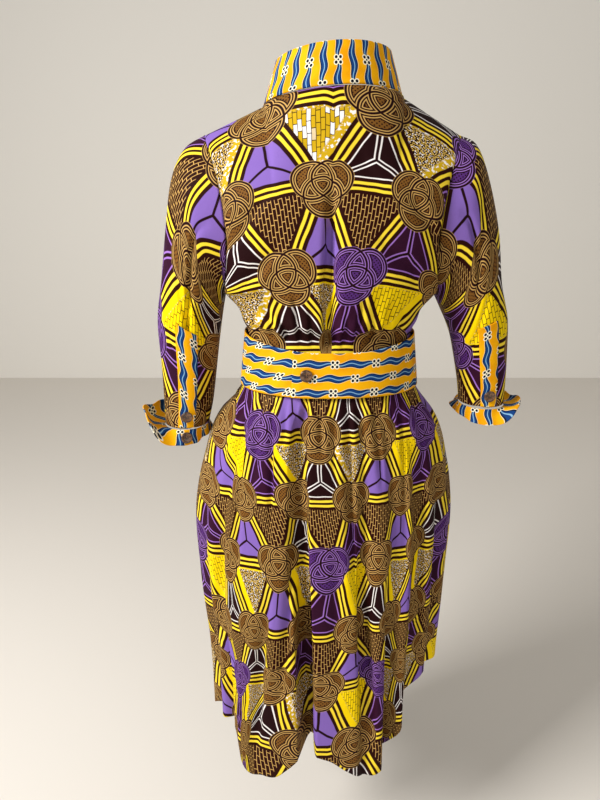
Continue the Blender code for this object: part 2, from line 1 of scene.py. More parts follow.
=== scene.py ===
import math
import bpy
import numpy as np
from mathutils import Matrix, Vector


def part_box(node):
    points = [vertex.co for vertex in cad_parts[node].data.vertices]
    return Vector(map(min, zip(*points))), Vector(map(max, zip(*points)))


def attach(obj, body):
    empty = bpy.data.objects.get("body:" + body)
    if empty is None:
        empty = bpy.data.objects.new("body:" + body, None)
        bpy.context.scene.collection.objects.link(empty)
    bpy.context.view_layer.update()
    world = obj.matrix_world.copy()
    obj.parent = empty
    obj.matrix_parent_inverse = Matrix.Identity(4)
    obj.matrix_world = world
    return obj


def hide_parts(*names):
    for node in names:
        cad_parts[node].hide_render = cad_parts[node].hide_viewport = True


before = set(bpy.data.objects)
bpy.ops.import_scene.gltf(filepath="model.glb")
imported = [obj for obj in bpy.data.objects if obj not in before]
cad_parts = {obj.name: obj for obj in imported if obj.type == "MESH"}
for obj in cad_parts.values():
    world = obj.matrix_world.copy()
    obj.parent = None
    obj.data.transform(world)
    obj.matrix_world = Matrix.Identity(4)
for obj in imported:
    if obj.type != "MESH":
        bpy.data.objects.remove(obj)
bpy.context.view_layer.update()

# ---------------------------------------------------------------------------
# BACK BODICE
# One piece of wax print from the shoulder seams to the waist, pinched into a deep
# fold down its middle and gathered over the belt.
# ---------------------------------------------------------------------------
CLOTH = 0.0009             # thickness that the printed cotton shows at its edges
SEAM_GAP = 0.0004

NECK_BACK_Z = 0.006        # levels, from the neck down
NECK_SIDE_Z = -0.002
NECK_FRONT_Z = -0.070
NECK_TILT = 0.006          # the wearer's right shoulder stands this much higher
SHOULDER_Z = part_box("sleeve_left")[1][2]
ARMPIT_Z = -0.280
WAIST_Z = -0.380

NECK_HALF = 0.102          # neck, shoulders and armholes
NECK_BACK = 0.085
NECK_FRONT = 0.088
SHOULDER_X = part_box("back")[1][0]
ARMPIT_X = 0.168
ARMHOLE_DEPTH = 0.082
ARMHOLE_DENT = 0.022
SHOULDER_ROLL = 0.16       # drop over which the cloth rolls over to the top seams
YOKE_DROP = 0.04           # the body's depth stays as it is this far below the shoulders

BODY = dict(               # half width, side lean and depths of the body, by level
    z=     [-1.130, -0.930, -0.780, -0.630, -0.560, -0.480, -0.442, -0.430,
            -0.380, -0.336, -0.322, -0.304, -0.280, -0.200, -0.120, -0.047],
    half=  [0.218, 0.218, 0.226, 0.225, 0.211, 0.182, 0.151, 0.1435,
            0.134, 0.1345, 0.1410, 0.147, 0.168, 0.172, 0.186, 0.190],
    lean=  [0.000, -0.003, -0.006, -0.006, -0.004, -0.002, 0.0, 0.0,
            0.0, 0.0, 0.0, 0.0, 0.0, 0.0, 0.0, 0.0],
    back=  [0.172, 0.158, 0.150, 0.143, 0.136, 0.124, 0.114, 0.107,
            0.098, 0.100, 0.112, 0.113, 0.115, 0.120, 0.114, 0.088],
    front= [0.158, 0.150, 0.142, 0.132, 0.124, 0.113, 0.108, 0.105,
            0.098, 0.101, 0.113, 0.122, 0.132, 0.138, 0.126, 0.096],
)
SQUARENESS = 2.25          # power of the body's squared ellipse: 2 would be a plain one

TUCKS = dict(              # folds of the back over the belt: turn, half width, depth, top
    turn=      [-0.003, -0.085, -0.140, 0.070, 0.130, 0.190],
    half_width=[0.018, 0.022, 0.022, 0.022, 0.022, 0.022],
    depth=     [0.016, 0.006, 0.005, 0.005, 0.006, 0.004],
    top=       [-0.100, -0.220, -0.240, -0.230, -0.220, -0.250],
)
TUCK_FULL_Z = -0.330       # level by which a tuck has its whole depth
TUCK_SHUT_Z = -0.358       # the belt's top edge, which presses the tucks flat
TUCK_SHUT_RISE = 0.020
FOLD_SOFT = 0.45           # how much of a fold is rounded: the rest comes to an edge
FOLD_POWER = 1.6


def blend(start, end, share):
    """A value this share of the way from start to end."""
    return start + (end - start) * share


def ramp(value, start, end):
    """0 before start and 1 past end, with a straight line between them."""
    return np.clip((value - start) / (end - start), 0, 1)


def soft_step(share):
    """A share from 0 to 1, eased at both ends: three of its squares less two of its cubes."""
    return share * share * (3 - 2 * share)


def smooth(places, values, at):
    """A curve through a table: cubic pieces whose slopes come from their neighbours."""
    places = np.asarray(places, float)
    values = np.asarray(values, float)
    slope = np.gradient(values, places)
    at = np.clip(np.asarray(at, float), places[0], places[-1])
    k = np.clip(np.searchsorted(places, at) - 1, 0, len(places) - 2)
    step = places[k + 1] - places[k]
    s = (at - places[k]) / step
    return ((1 + 2 * s) * (1 - s) ** 2 * values[k] + s * (1 - s) ** 2 * step * slope[k]
            + soft_step(s) * values[k + 1] + s * s * (s - 1) * step * slope[k + 1])


def at_level(table, column, z):
    """A column of a table at a level."""
    return smooth(table["z"], table[column], z)


def near(turn, centre, half):
    """1 on a fold's line, falling to 0 at its edges, measured round the body.

    The fall is a mix of a soft step and a power of the share left to the edge.
    """
    away = (np.asarray(turn) - centre + 0.5) % 1.0 - 0.5
    share = ramp(np.abs(away), half, 0.0)
    return blend(share ** FOLD_POWER, soft_step(share), FOLD_SOFT)


def armhole_y(z):
    """Bulge of the armhole at a level: half an ellipse between its two ends."""
    middle = (SHOULDER_Z + ARMPIT_Z) / 2
    rise = (SHOULDER_Z - ARMPIT_Z) / 2
    return ARMHOLE_DEPTH * np.sqrt(np.clip(1 - ((z - middle) / rise) ** 2, 0, 1))


def edge_x(z):
    """Half width of a bodice panel: side seam below the armpit, armhole above it."""
    share = ramp(z, ARMPIT_Z, SHOULDER_Z)
    armhole = blend(ARMPIT_X, SHOULDER_X, share) - ARMHOLE_DENT * 4 * share * (1 - share)
    return np.where(z > ARMPIT_Z, armhole, at_level(BODY, "half", z))


def neck_edge(x, face):
    """Depth and level of the neck seam above x, on the back (-1) or the front (+1)."""
    share = np.clip(x / NECK_HALF, -1, 1)
    arc = np.sqrt(1 - share ** 2)
    depth = np.where(face < 0, NECK_BACK, NECK_FRONT) * arc
    middle_z = np.where(face < 0, NECK_BACK_Z, NECK_FRONT_Z)
    return depth, blend(NECK_SIDE_Z, middle_z, arc ** 1.5) + NECK_TILT * share


def bodice_points(across, up, face):
    """A bodice panel over across (-1 to 1 between its edges) and up (0 waist to 1 top).

    The rows bulge as a squared ellipse, and roll over to the shoulder and neck seams.
    """
    across, up = np.broadcast_arrays(across, up)
    seam_x = across * SHOULDER_X
    neck_y, neck_z = neck_edge(seam_x, face)
    top_z = blend(neck_z, SHOULDER_Z, ramp(np.abs(seam_x), NECK_HALF, SHOULDER_X))
    z_edge = blend(WAIST_Z, SHOULDER_Z, up)
    z = blend(WAIST_Z, top_z, up)
    x = across * edge_x(z_edge)
    y_edge = np.where(z_edge > ARMPIT_Z, armhole_y(z_edge), 0.0)
    deep = at_level(BODY, "back" if face < 0 else "front", np.minimum(z, SHOULDER_Z - YOKE_DROP))
    bulge = (1 - np.abs(across) ** SQUARENESS) ** (1 / SQUARENESS)
    roll = ramp(top_z - z, SHOULDER_ROLL, 0.0)
    turn_over = 1 - np.sqrt(1 - roll ** 2)
    deep = blend(deep, neck_y / np.maximum(bulge, 0.1), turn_over)
    y = face * blend(y_edge, deep, bulge)
    if face < 0:
        turn = np.arcsin(np.clip(across, -1, 1)) / (2 * np.pi)
        above_belt = ramp(z, TUCK_SHUT_Z, TUCK_SHUT_Z + TUCK_SHUT_RISE)
        for centre, half, depth, top in zip(*TUCKS.values()):
            y = y + depth * ramp(z, top, TUCK_FULL_Z) * above_belt * near(turn, centre, half)
    return np.stack([x, y + face * SEAM_GAP / 2, z + 0 * x], axis=-1)


def grid(columns, rows):
    """Two arrays that give every column and row of a grid."""
    return np.meshgrid(np.asarray(columns, float), np.asarray(rows, float))


def normals(points, out_sign, closed):
    """Unit normals of a grid of points, from its row and column directions."""
    if closed:
        wrapped = np.concatenate([points[:, -1:], points, points[:, :1]], axis=1)
        across = wrapped[:, 2:] - wrapped[:, :-2]
    else:
        across = np.gradient(points, axis=1)
    n = np.cross(across, np.gradient(points, axis=0)) * out_sign
    return n / np.maximum(np.linalg.norm(n, axis=-1, keepdims=True), 1e-12)


CREASE_BOW = 0.12          # how far a crease bows to each side, in its own widths
CREASE_STEEP = 0.5         # its two flanks, in its own widths
CREASE_GENTLE = 1.3


def crease(cloth, table):
    """Height of listed creases: soft troughs along nearly straight lines.

    Each row of the table runs from (u0, v0) to (u1, v1) in cloth metres. Across the
    line the height is a bell of the given width, steeper on one flank, where the cloth
    laps over itself, and it fades out towards both ends. The line bows as a sine wave
    that starts somewhere else for each crease.
    """
    height = 0.0 * cloth[..., 0]
    for u0, v0, u1, v1, width, depth in table:
        along = np.array([u1 - u0, v1 - v0])
        length = np.hypot(*along)
        along = along / length
        du = cloth[..., 0] - u0
        dv = cloth[..., 1] - v0
        share = (du * along[0] + dv * along[1]) / length
        away = dv * along[0] - du * along[1]
        away = away - CREASE_BOW * width * np.sin(share * 7.0 + u0 * 40.0)
        ends = np.clip(share * (1 - share) * 4, 0, 1)
        flank = np.where(away > 0, CREASE_STEEP, CREASE_GENTLE) * width
        height = height - depth * ends * np.exp(-(away / flank) ** 2)
    return height


def quads(corners):
    """Four corners for each quad of a grid of point numbers, from rows as they run."""
    low, high = corners[:-1], corners[1:]
    return np.stack([low[:, :-1], low[:, 1:], high[:, 1:], high[:, :-1]], axis=-1).reshape(-1, 4)


def finished(name, mesh, places, look):
    """Gives a mesh its places on the flat piece and its material, and puts it in the scene."""
    flat = mesh.uv_layers.new(name="cloth")
    flat.data.foreach_set("uv", places.ravel())
    mesh.shade_smooth()
    mesh.materials.append(look)
    piece = bpy.data.objects.new(name, mesh)
    bpy.context.scene.collection.objects.link(piece)
    return piece


def shell(name, outer, cloth, thickness, look, out_sign, closed=False):
    """A thin closed shell of cloth: the outer grid, the grid moved in, and rims between.

    cloth holds the place of each grid point on the flat cut piece, in metres. A tube
    has one more column there than it has points, so that the print meets at its seam.
    """
    inner = outer - normals(outer, out_sign, closed) * thickness
    rows, columns = outer.shape[:2]
    wide = cloth.shape[1]
    shift = rows * columns
    r, c = np.meshgrid(np.arange(rows), np.arange(wide), indexing="ij")
    corner = r * columns + c % columns
    place = r * wide + c
    rims = [(corner[0] + shift, corner[0], place[0]),
            (corner[-1], corner[-1] + shift, place[-1])]
    if not closed:
        rims += [(corner[:, 0], corner[:, 0] + shift, place[:, 0]),
                 (corner[:, -1] + shift, corner[:, -1], place[:, -1])]
    faces = [quads(corner), quads(corner)[:, ::-1] + shift]
    faces += [quads(np.stack([start, end])) for start, end, edge in rims]
    places = [quads(place), quads(place)[:, ::-1]]
    places += [quads(np.stack([edge, edge])) for start, end, edge in rims]
    faces, places = np.concatenate(faces), np.concatenate(places)
    if out_sign < 0:
        faces, places = faces[:, ::-1], places[:, ::-1]
    mesh = bpy.data.meshes.new(name)
    mesh.vertices.add(2 * shift)
    mesh.vertices.foreach_set("co", np.concatenate([outer, inner]).ravel())
    mesh.loops.add(faces.size)
    mesh.loops.foreach_set("vertex_index", faces.ravel().astype(np.int32))
    mesh.polygons.add(len(faces))
    mesh.polygons.foreach_set("loop_start", np.arange(0, faces.size, 4, dtype=np.int32))
    mesh.update(calc_edges=True)
    return finished(name, mesh, cloth.reshape(-1, 2)[places.ravel()], look)


def stands_for(piece, node):
    """Hides the solid that a cut piece is seen in place of, and hangs the piece on the root
    body.
    """
    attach(piece, "root")
    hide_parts(node)


def srgb(red, green, blue):
    """A dye's colour, from 0 to 255, as linear light."""
    share = np.array([red, green, blue]) / 255.0
    linear = np.where(share <= 0.04045, share / 12.92, ((share + 0.055) / 1.055) ** 2.4)
    return (*(float(c) for c in linear), 1.0)


class Wire:
    """A number in a node tree. Arithmetic on wires adds Math nodes to the tree."""

    def __init__(self, tree, socket):
        self.tree = tree
        self.socket = socket

    def math(self, operation, *others, clamp=False):
        """Any one of Blender's sums, of this number and others (numbers or wires)."""
        node = self.tree.nodes.new("ShaderNodeMath")
        node.operation = operation
        node.use_clamp = clamp
        for place, value in zip(node.inputs, (self, *others)):
            if isinstance(value, Wire):
                self.tree.links.new(value.socket, place)
            else:
                place.default_value = value
        return Wire(self.tree, node.outputs[0])

    def __add__(self, other):
        return self.math("ADD", other)

    def __sub__(self, other):
        return self.math("SUBTRACT", other)

    def __mul__(self, other):
        return self.math("MULTIPLY", other)

    def __mod__(self, other):
        return self.math("FLOORED_MODULO", other)

    def floor(self):
        """The whole number at or below this one."""
        return self.math("FLOOR")

    def size(self):
        """The number without its sign."""
        return self.math("ABSOLUTE")

    def least(self, other):
        """The smaller of two numbers."""
        return self.math("MINIMUM", other)

    def most(self, other):
        """The larger of two numbers."""
        return self.math("MAXIMUM", other)

    def minus_from(self, number):
        """A plain number less this one."""
        return self.math("MULTIPLY_ADD", -1.0, number)

    def above(self, level, soft):
        """1 where the number is above the level, with a soft step this wide."""
        return self.math("MULTIPLY_ADD", 1 / soft, 0.5 - level / soft, clamp=True)

    def below(self, level, soft):
        """1 where the number is below the level, with a soft step this wide."""
        return self.math("MULTIPLY_ADD", -1 / soft, 0.5 + level / soft, clamp=True)

    def between(self, low, high, soft):
        """1 where the number is above one level and below another."""
        return self.above(low, soft) * self.below(high, soft)

    def equals(self, number):
        """1 where the number is within a tenth of a plain one."""
        return self.math("COMPARE", number, 0.1)

    def length_with(self, other):
        """The root of the sum of two squares."""
        return (self * self + other * other).math("SQRT")


class Paint:
    """Colours in a node tree, laid over each other through masks."""

    def __init__(self, tree, colour):
        self.tree = tree
        self.colour = colour

    def over(self, mask, colour):
        """Lays a colour (four numbers, or another Paint) over this one where the mask is 1."""
        node = self.tree.nodes.new("ShaderNodeMix")
        node.data_type = "RGBA"
        self.tree.links.new(mask.socket, node.inputs["Factor"])
        for place, value in ((node.inputs[6], self.colour), (node.inputs[7], colour)):
            value = value.colour if isinstance(value, Paint) else value
            if isinstance(value, tuple):
                place.default_value = value
            else:
                self.tree.links.new(value, place)
        return Paint(self.tree, node.outputs[2])


def group(name, inputs, outputs):
    """A new shader node group with its named sockets."""
    tree = bpy.data.node_groups.new(name, "ShaderNodeTree")
    for label, kind in inputs:
        tree.interface.new_socket(label, in_out="INPUT", socket_type="NodeSocket" + kind)
    for label, kind in outputs:
        tree.interface.new_socket(label, in_out="OUTPUT", socket_type="NodeSocket" + kind)
    come = tree.nodes.new("NodeGroupInput")
    go = tree.nodes.new("NodeGroupOutput")
    return tree, come, go


def use(tree, made, *values):
    """Places a group in a tree and links its inputs."""
    node = tree.nodes.new("ShaderNodeGroup")
    node.node_tree = made
    for place, value in zip(node.inputs, values):
        tree.links.new(value.socket if isinstance(value, Wire) else value, place)
    return node


def noise(tree, vector, scale, detail, kind="noise"):
    """A noise or cell texture of the flat cloth."""
    node = tree.nodes.new("ShaderNodeTexVoronoi" if kind == "cells" else "ShaderNodeTexNoise")
    if kind == "cells":
        node.voronoi_dimensions = "2D"
    else:
        node.noise_dimensions = "2D"
        node.inputs["Detail"].default_value = detail
    node.inputs["Scale"].default_value = scale
    tree.links.new(vector, node.inputs["Vector"])
    return node


def start_material(name):
    """A new material, its node tree, and the place of each point on the flat piece."""
    made = bpy.data.materials.new(name)
    made.use_nodes = True
    flat = made.node_tree.nodes.new("ShaderNodeUVMap")
    flat.uv_map = "cloth"
    return made, made.node_tree, flat.outputs[0]


def across_and_up(tree, place):
    """The two numbers of a place on the flat piece."""
    split = tree.nodes.new("ShaderNodeSeparateXYZ")
    tree.links.new(place, split.inputs[0])
    return Wire(tree, split.outputs[0]), Wire(tree, split.outputs[1])


def drawn_by_hand(reach):
    """Group: moves a place on the cloth a little, so that drawn lines waver.

    A noise colour, less its middle value, is added to the place, at most reach / 2.
    """
    tree, come, go = group("drawn_by_hand", [("Place", "Vector")], [("Place", "Vector")])
    wander = noise(tree, come.outputs[0], scale=26.0, detail=1.0)
    centred = tree.nodes.new("ShaderNodeVectorMath")
    centred.operation = "MULTIPLY_ADD"
    tree.links.new(wander.outputs["Color"], centred.inputs[0])
    centred.inputs[1].default_value = (reach, reach, 0.0)
    tree.links.new(come.outputs[0], centred.inputs[2])
    back = tree.nodes.new("ShaderNodeVectorMath")
    back.operation = "SUBTRACT"
    tree.links.new(centred.outputs[0], back.inputs[0])
    back.inputs[1].default_value = (reach / 2, reach / 2, 0.0)
    tree.links.new(back.outputs[0], go.inputs[0])
    return tree


THREAD = 0.0011            # two threads of the weave
THREAD_HEIGHT = 0.06       # height of the threads beside that of the rumples


def weave():
    """Group: the height of a plain weave, one thread over and one under, with small rumples."""
    tree, come, go = group("weave", [("Place", "Vector")], [("Height", "Float")])
    u, v = across_and_up(tree, come.outputs[0])
    across = (u * (2 * math.pi / THREAD)).math("SINE")
    along = (v * (2 * math.pi / THREAD)).math("SINE")
    rumple = Wire(tree, noise(tree, come.outputs[0], scale=38.0, detail=3.0).outputs[0])
    height = across * along * THREAD_HEIGHT + rumple
    tree.links.new(height.socket, go.inputs[0])
    return tree


WEAVE = weave()
BUMP_STRENGTH = 0.35
BUMP_DEPTH = 0.0012
DRY_GLOSS = 0.06           # printed cotton hardly shines


def finish_cloth(tree, flat, paint, roughness):
    """Joins a print's colours to its shader, with the weave as a bump."""
    shader = tree.nodes["Principled BSDF"]
    tree.links.new(paint.colour, shader.inputs["Base Color"])
    shader.inputs["Roughness"].default_value = roughness
    shader.inputs["Specular IOR Level"].default_value = DRY_GLOSS
    height = use(tree, WEAVE, flat)
    bump = tree.nodes.new("ShaderNodeBump")
    bump.inputs["Strength"].default_value = BUMP_STRENGTH
    bump.inputs["Distance"].default_value = BUMP_DEPTH
    tree.links.new(height.outputs[0], bump.inputs["Height"])
    tree.links.new(bump.outputs[0], shader.inputs["Normal"])


LATTICE = 0.150            # side of the triangles that the print is built on
ROW = math.sqrt(3) / 2     # height of a row of triangles, in lattice sides

MAROON = srgb(40, 9, 4)
DEEP = srgb(32, 8, 10)
TAN = srgb(208, 164, 92)
BROWN = srgb(120, 80, 32)
YELLOW = srgb(246, 214, 56)
LILAC = srgb(128, 98, 176)
PLUM = srgb(82, 44, 112)
DARK_PLUM = srgb(48, 14, 38)
PLUM_LINE = srgb(158, 112, 196)
BRIGHT = srgb(248, 212, 6)
GOLD = srgb(200, 162, 22)
FLECK = srgb(216, 176, 78)
WHITE = srgb(242, 236, 232)

# Sizes of the printed shapes, all in lattice sides.
SOFT = 0.006               # softness of a printed edge
RING_REACH = 0.117         # a rosette's rings: their centres from the corner, and radius
RING = 0.200
RING_RIM = 0.014           # the dark rim outside its rings
RING_LINES = ((0.011, 0.0195), (0.034, 0.0425))   # two thin lines on each side of a ring
RING_CELL = 0.056          # a dotted cell starts this far from the nearest ring
DOT_RATE = 150.0           # radians of the dots' waves to a lattice side
BRICK_WIDE = 0.0385
BRICK_TALL = 0.115
BRICK_BOND = 0.38          # each column of bricks starts this much of a brick higher
BAND_STRIPE = (0.0155, 0.0470)   # edges of a band's two stripes, from the band's middle
FIGURE_EDGE = 0.088        # a triangle's sides to its figure
FIGURE_RIM = 0.014         # width of the figure's outline
ARM_HALF = 0.014           # half width of the dark arms between its three parts
FIELD_EDGE = 0.086         # a triangle's sides to its bricks or speckles
CORE_SIDE = 0.165          # its slanting side and its top to the field's core
CORE_TOP = 0.105


def rosette():
    """Group: three rings laced together, two above and one below.

    The distance to the nearest ring is a number, and the drawn lines run where it lies
    between two levels. Away from the rings the cells are filled and dotted.
    """
    tree, come, go = group("rosette", [("X", "Float"), ("Y", "Float")],
                           [("Inside", "Float"), ("Line", "Float"), ("Dots", "Float")])
    x, y = Wire(tree, come.outputs[0]), Wire(tree, come.outputs[1])
    nearest = covered = None
    for angle in (150, 30, 270):
        a = math.radians(angle)
        away = (x - RING_REACH * math.cos(a)).length_with(y - RING_REACH * math.sin(a)) - RING
        covered = away if covered is None else covered.least(away)
        nearest = away.size() if nearest is None else nearest.least(away.size())
    inside = covered.below(RING_RIM, SOFT)
    inner, outer = (nearest.between(*edges, SOFT) for edges in RING_LINES)
    lines = inner.most(outer)
    spots = (x * DOT_RATE).math("SINE") * (y * DOT_RATE).math("SINE")
    dots = nearest.above(RING_CELL, SOFT) * spots.below(0.45, 0.5)
    for value, place in zip((inside, lines, dots), go.inputs):
        tree.links.new(value.socket, place)
    return tree


def bricks():
    """Group: tall narrow bricks. Gives their joints, and a shade for each brick, which is
    the part left over 1 of a large sine of its column and course.
    """
    tree, come, go = group("bricks", [("U", "Float"), ("V", "Float")],
                           [("Joint", "Float"), ("Shade", "Float")])
    u, v = Wire(tree, come.outputs[0]), Wire(tree, come.outputs[1])
    place = u * (1 / BRICK_WIDE)
    column = place.floor()
    side = (place % 1.0 - 0.5).size()
    course = v * (1 / BRICK_TALL) + column * BRICK_BOND
    end = (course % 1.0 - 0.5).size()
    joint = side.above(0.425, 0.08).most(end.above(0.465, 0.02))
    shade = ((column * 12.99 + course.floor() * 78.23).math("SINE") * 437.5) % 1.0
    tree.links.new(joint.socket, go.inputs[0])
    tree.links.new(shade.socket, go.inputs[1])
    return tree


def wax_print():
    """The main print. Bands with two stripes run along a lattice of triangles, with a
    rosette at each corner. Triangles that point up hold a three armed figure, and those
    that point down hold bricks or speckles. What each one holds follows its row and column.
    """
    made, tree, flat = start_material("wax_print")
    drawn = use(tree, drawn_by_hand(reach=0.0028), flat).outputs[0]
    across, up = across_and_up(tree, drawn)
    x, y = across * (1 / LATTICE), up * (1 / LATTICE)

    # Which cell of the slanting lattice, which of its two triangles, and how far from
    # that triangle's three sides.
    t = y * (1 / ROW)
    s = x - t * 0.5
    i, j = s.floor(), t.floor()
    fs, ft = s - i, t - j
    both = fs + ft
    down = both.above(1.0, 0.001)
    low = ft * ROW
    left = fs * ROW
    slant = both.minus_from(1.0) * ROW
    top = low.minus_from(ROW)
    right = left.minus_from(ROW)
    line_away = low.least(top).least(left.least(right)).least(slant.size())

    paint = Paint(tree, MAROON)
    paint = paint.over(line_away.between(*BAND_STRIPE, SOFT), YELLOW)

    # Triangles that point up: three armed figures, in three kinds by row and column.
    odd = j % 2.0
    even = odd.minus_from(1.0)
    up_least = low.least(left).least(slant)
    up_middle = (up_least + low.most(left).most(slant)).minus_from(ROW)
    arm = (up_middle - up_least) * (1 / math.sqrt(3))
    body = down.minus_from(1.0) * up_least.above(FIGURE_EDGE, SOFT)
    off_arm = body * arm.above(ARM_HALF, SOFT)
    near_edge = up_least.below(FIGURE_EDGE + FIGURE_RIM, SOFT)
    outline = off_arm * near_edge.most(arm.below(ARM_HALF + FIGURE_RIM, SOFT))
    kind = (i * (even + 1.0) - odd * (j + 1.0) * 0.5) % 3.0
    paint = paint.over(body, DEEP)
    paint = paint.over(off_arm * kind.equals(1.0), LILAC)
    paint = paint.over(off_arm * kind.equals(2.0), DARK_PLUM)
    paint = paint.over(outline * kind.equals(0.0), WHITE)
    paint = paint.over(outline * kind.equals(2.0), PLUM_LINE)

    # Triangles that point down: dark bricks in the even rows.
    down_left = slant * -1.0
    down_least = top.least(right).least(down_left)
    field = down * down_least.above(FIELD_EDGE, SOFT)
    brick = use(tree, bricks(), x, y)
    joint, shade = Wire(tree, brick.outputs[0]), Wire(tree, brick.outputs[1])
    paint = paint.over(field * even * joint, TAN)

    # In the odd rows they have a mottled ground, with speckles or pale bricks in its core.
    fourth = j % 4.0
    choice = (i + j + 1.0) % 3.0
    third_row = fourth.equals(3.0)
    first_row = fourth.equals(1.0)
    lone_row = first_row * (j - 1.0).size().above(0.5, 0.1)
    bright = (third_row * choice.above(0.5, 0.1)).most(lone_row)
    bricked = (third_row * choice.equals(1.0)).most(first_row * (i % 3.0).equals(1.0))
    mottle = Wire(tree, noise(tree, drawn, scale=170.0, detail=2.0).outputs[0])
    ground = Paint(tree, GOLD).over(mottle.above(0.58, 0.06), WHITE).over(bright, BRIGHT)
    core = down_left.above(CORE_SIDE, 0.02) * top.above(CORE_TOP, 0.02)
    cells = noise(tree, drawn, scale=400.0, detail=0.0, kind="cells")
    fleck = Wire(tree, cells.outputs["Distance"]).below(0.40, 0.12)
    tint = Wire(tree, noise(tree, drawn, scale=260.0, detail=0.0).outputs[0])
    flecks = Paint(tree, FLECK).over(tint.above(0.60, 0.06), WHITE)
    speckled = Paint(tree, DEEP).over(fleck, flecks)
    pale_bricks = Paint(tree, GOLD).over(shade.above(0.66, 0.1), WHITE).over(bright, BRIGHT)
    walled = pale_bricks.over(joint, DEEP)
    paint = paint.over(field * odd, ground.over(core, speckled).over(bricked * core, walled))

    # The nearest corner of the lattice: three numbers that add up to nothing are rounded,
    # and the one that was rounded furthest is put right. A rosette lies round it.
    q = (s + t) * -1.0
    near_s, near_t, near_q = s.math("ROUND"), t.math("ROUND"), q.math("ROUND")
    off_s, off_t, off_q = (s - near_s).size(), (t - near_t).size(), (q - near_q).size()
    fix_s = off_s.math("GREATER_THAN", off_t.most(off_q))
    fix_t = fix_s.minus_from(1.0) * off_t.math("GREATER_THAN", off_q)
    miss = near_s + near_t + near_q
    corner_s = near_s - miss * fix_s
    corner_t = near_t - miss * fix_t
    from_t = t - corner_t
    ring = use(tree, rosette(), (s - corner_s) + from_t * 0.5, from_t * ROW)
    inside, lines, dots = (Wire(tree, socket) for socket in ring.outputs)
    plum = (corner_t % 2.0).below(0.5, 0.1) * ((corner_s + corner_t) % 3.0).equals(2.0)
    cell = Paint(tree, BROWN).over(plum, PLUM)
    line_colour = Paint(tree, TAN).over(plum, PLUM_LINE)
    knot = Paint(tree, DEEP).over(dots, cell).over(lines, line_colour)
    paint = paint.over(inside, knot)

    finish_cloth(tree, flat, paint, roughness=0.62)
    return made


WAX = wax_print()


def lengths(points, axis):
    """Distance run along the rows or columns of a grid, from its first point."""
    steps = np.linalg.norm(np.diff(points, axis=axis), axis=-1)
    run = np.cumsum(steps, axis=axis)
    first = np.zeros_like(np.take(run, [0], axis=axis))
    return np.concatenate([first, run], axis=axis)


BACK_FOLD_X = -0.005       # the centre fold, half its width, and its column of the print
BACK_FOLD_HALF = 0.008
BACK_FOLD_PRINT = -0.089
BACK_RATE = dict(          # print to each metre across, by level
    z=   [-0.38, -0.25, -0.15, -0.05, 0.00],
    rate=[1.02, 1.06, 1.10, 0.93, 0.90],
)
BACK_HIDDEN = dict(        # width of print inside the fold, by level
    z=    [-0.38, -0.35, -0.26, -0.13, 0.00],
    width=[0.110, 0.100, 0.055, 0.004, 0.000],
)
BACK_START = 0.147         # length of back below the print's first row
BACK_UP_RATE = 1.07        # print to each metre up
BACK_SAG = 0.018           # rise of its rows by this far from the middle
BACK_SAG_HALF = 0.15
BACK_YOKE_RISE = 0.008     # rise of its rows over the shoulder blades


def back_cloth(points):
    """Where the back lies on the flat print. The print runs up the cloth from the waist,
    is turned over from side to side, and loses a strip inside the centre fold. Its rows
    sag as a parabola across the back.
    """
    x, z = points[..., 0], points[..., 2]
    off_fold = x - BACK_FOLD_X
    side = np.tanh(off_fold / BACK_FOLD_HALF)
    u = (BACK_FOLD_PRINT - off_fold * at_level(BACK_RATE, "rate", z)
         - side * at_level(BACK_HIDDEN, "width", z) / 2)
    v = (lengths(points, 0) - BACK_START) * BACK_UP_RATE + BACK_SAG * (x / BACK_SAG_HALF) ** 2
    return np.stack([u, v + BACK_YOKE_RISE * ramp(z, -0.15, -0.06)], axis=-1)


def dent(points, place, table, out_sign):
    """A piece's points moved along its normals by its table of creases."""
    return points + normals(points, out_sign, False) * crease(place, table)[..., None]


BACK_CREASES = [           # from x, z to x, z, width and depth
    (-0.003, -0.110, -0.006, -0.352, 0.0060, 0.0090),
    (-0.030, -0.352, -0.036, -0.290, 0.0050, 0.0060),
    (-0.048, -0.352, -0.060, -0.270, 0.0055, 0.0075),
    (-0.068, -0.350, -0.082, -0.300, 0.0045, 0.0065),
    (-0.088, -0.348, -0.108, -0.270, 0.0065, 0.0075),
    (-0.110, -0.345, -0.128, -0.310, 0.0055, 0.0060),
    (0.016, -0.352, 0.020, -0.300, 0.0050, 0.0060),
    (0.034, -0.352, 0.042, -0.270, 0.0055, 0.0075),
    (0.055, -0.350, 0.062, -0.310, 0.0045, 0.0065),
    (0.074, -0.348, 0.090, -0.275, 0.0060, 0.0075),
    (0.098, -0.345, 0.112, -0.300, 0.0055, 0.0060),
    (0.100, -0.120, 0.160, -0.205, 0.0110, 0.0060),
    (0.060, -0.190, 0.150, -0.255, 0.0110, 0.0055),
    (-0.090, -0.130, -0.155, -0.215, 0.0110, 0.0060),
    (-0.070, -0.200, -0.140, -0.270, 0.0110, 0.0055),
    (-0.020, -0.050, -0.060, -0.140, 0.0140, 0.0025),
    (0.020, -0.060, 0.070, -0.130, 0.0140, 0.0025),
]
across, up = grid(np.linspace(-1, 1, 150), np.linspace(0, 1, 120))
sheet_points = bodice_points(across, up, -1)
back_print = back_cloth(sheet_points)
sheet_points = dent(sheet_points, sheet_points[..., [0, 2]], BACK_CREASES, 1.0)
back = shell("back_cloth", sheet_points, back_print, CLOTH, WAX, 1.0)
stands_for(back, "back")

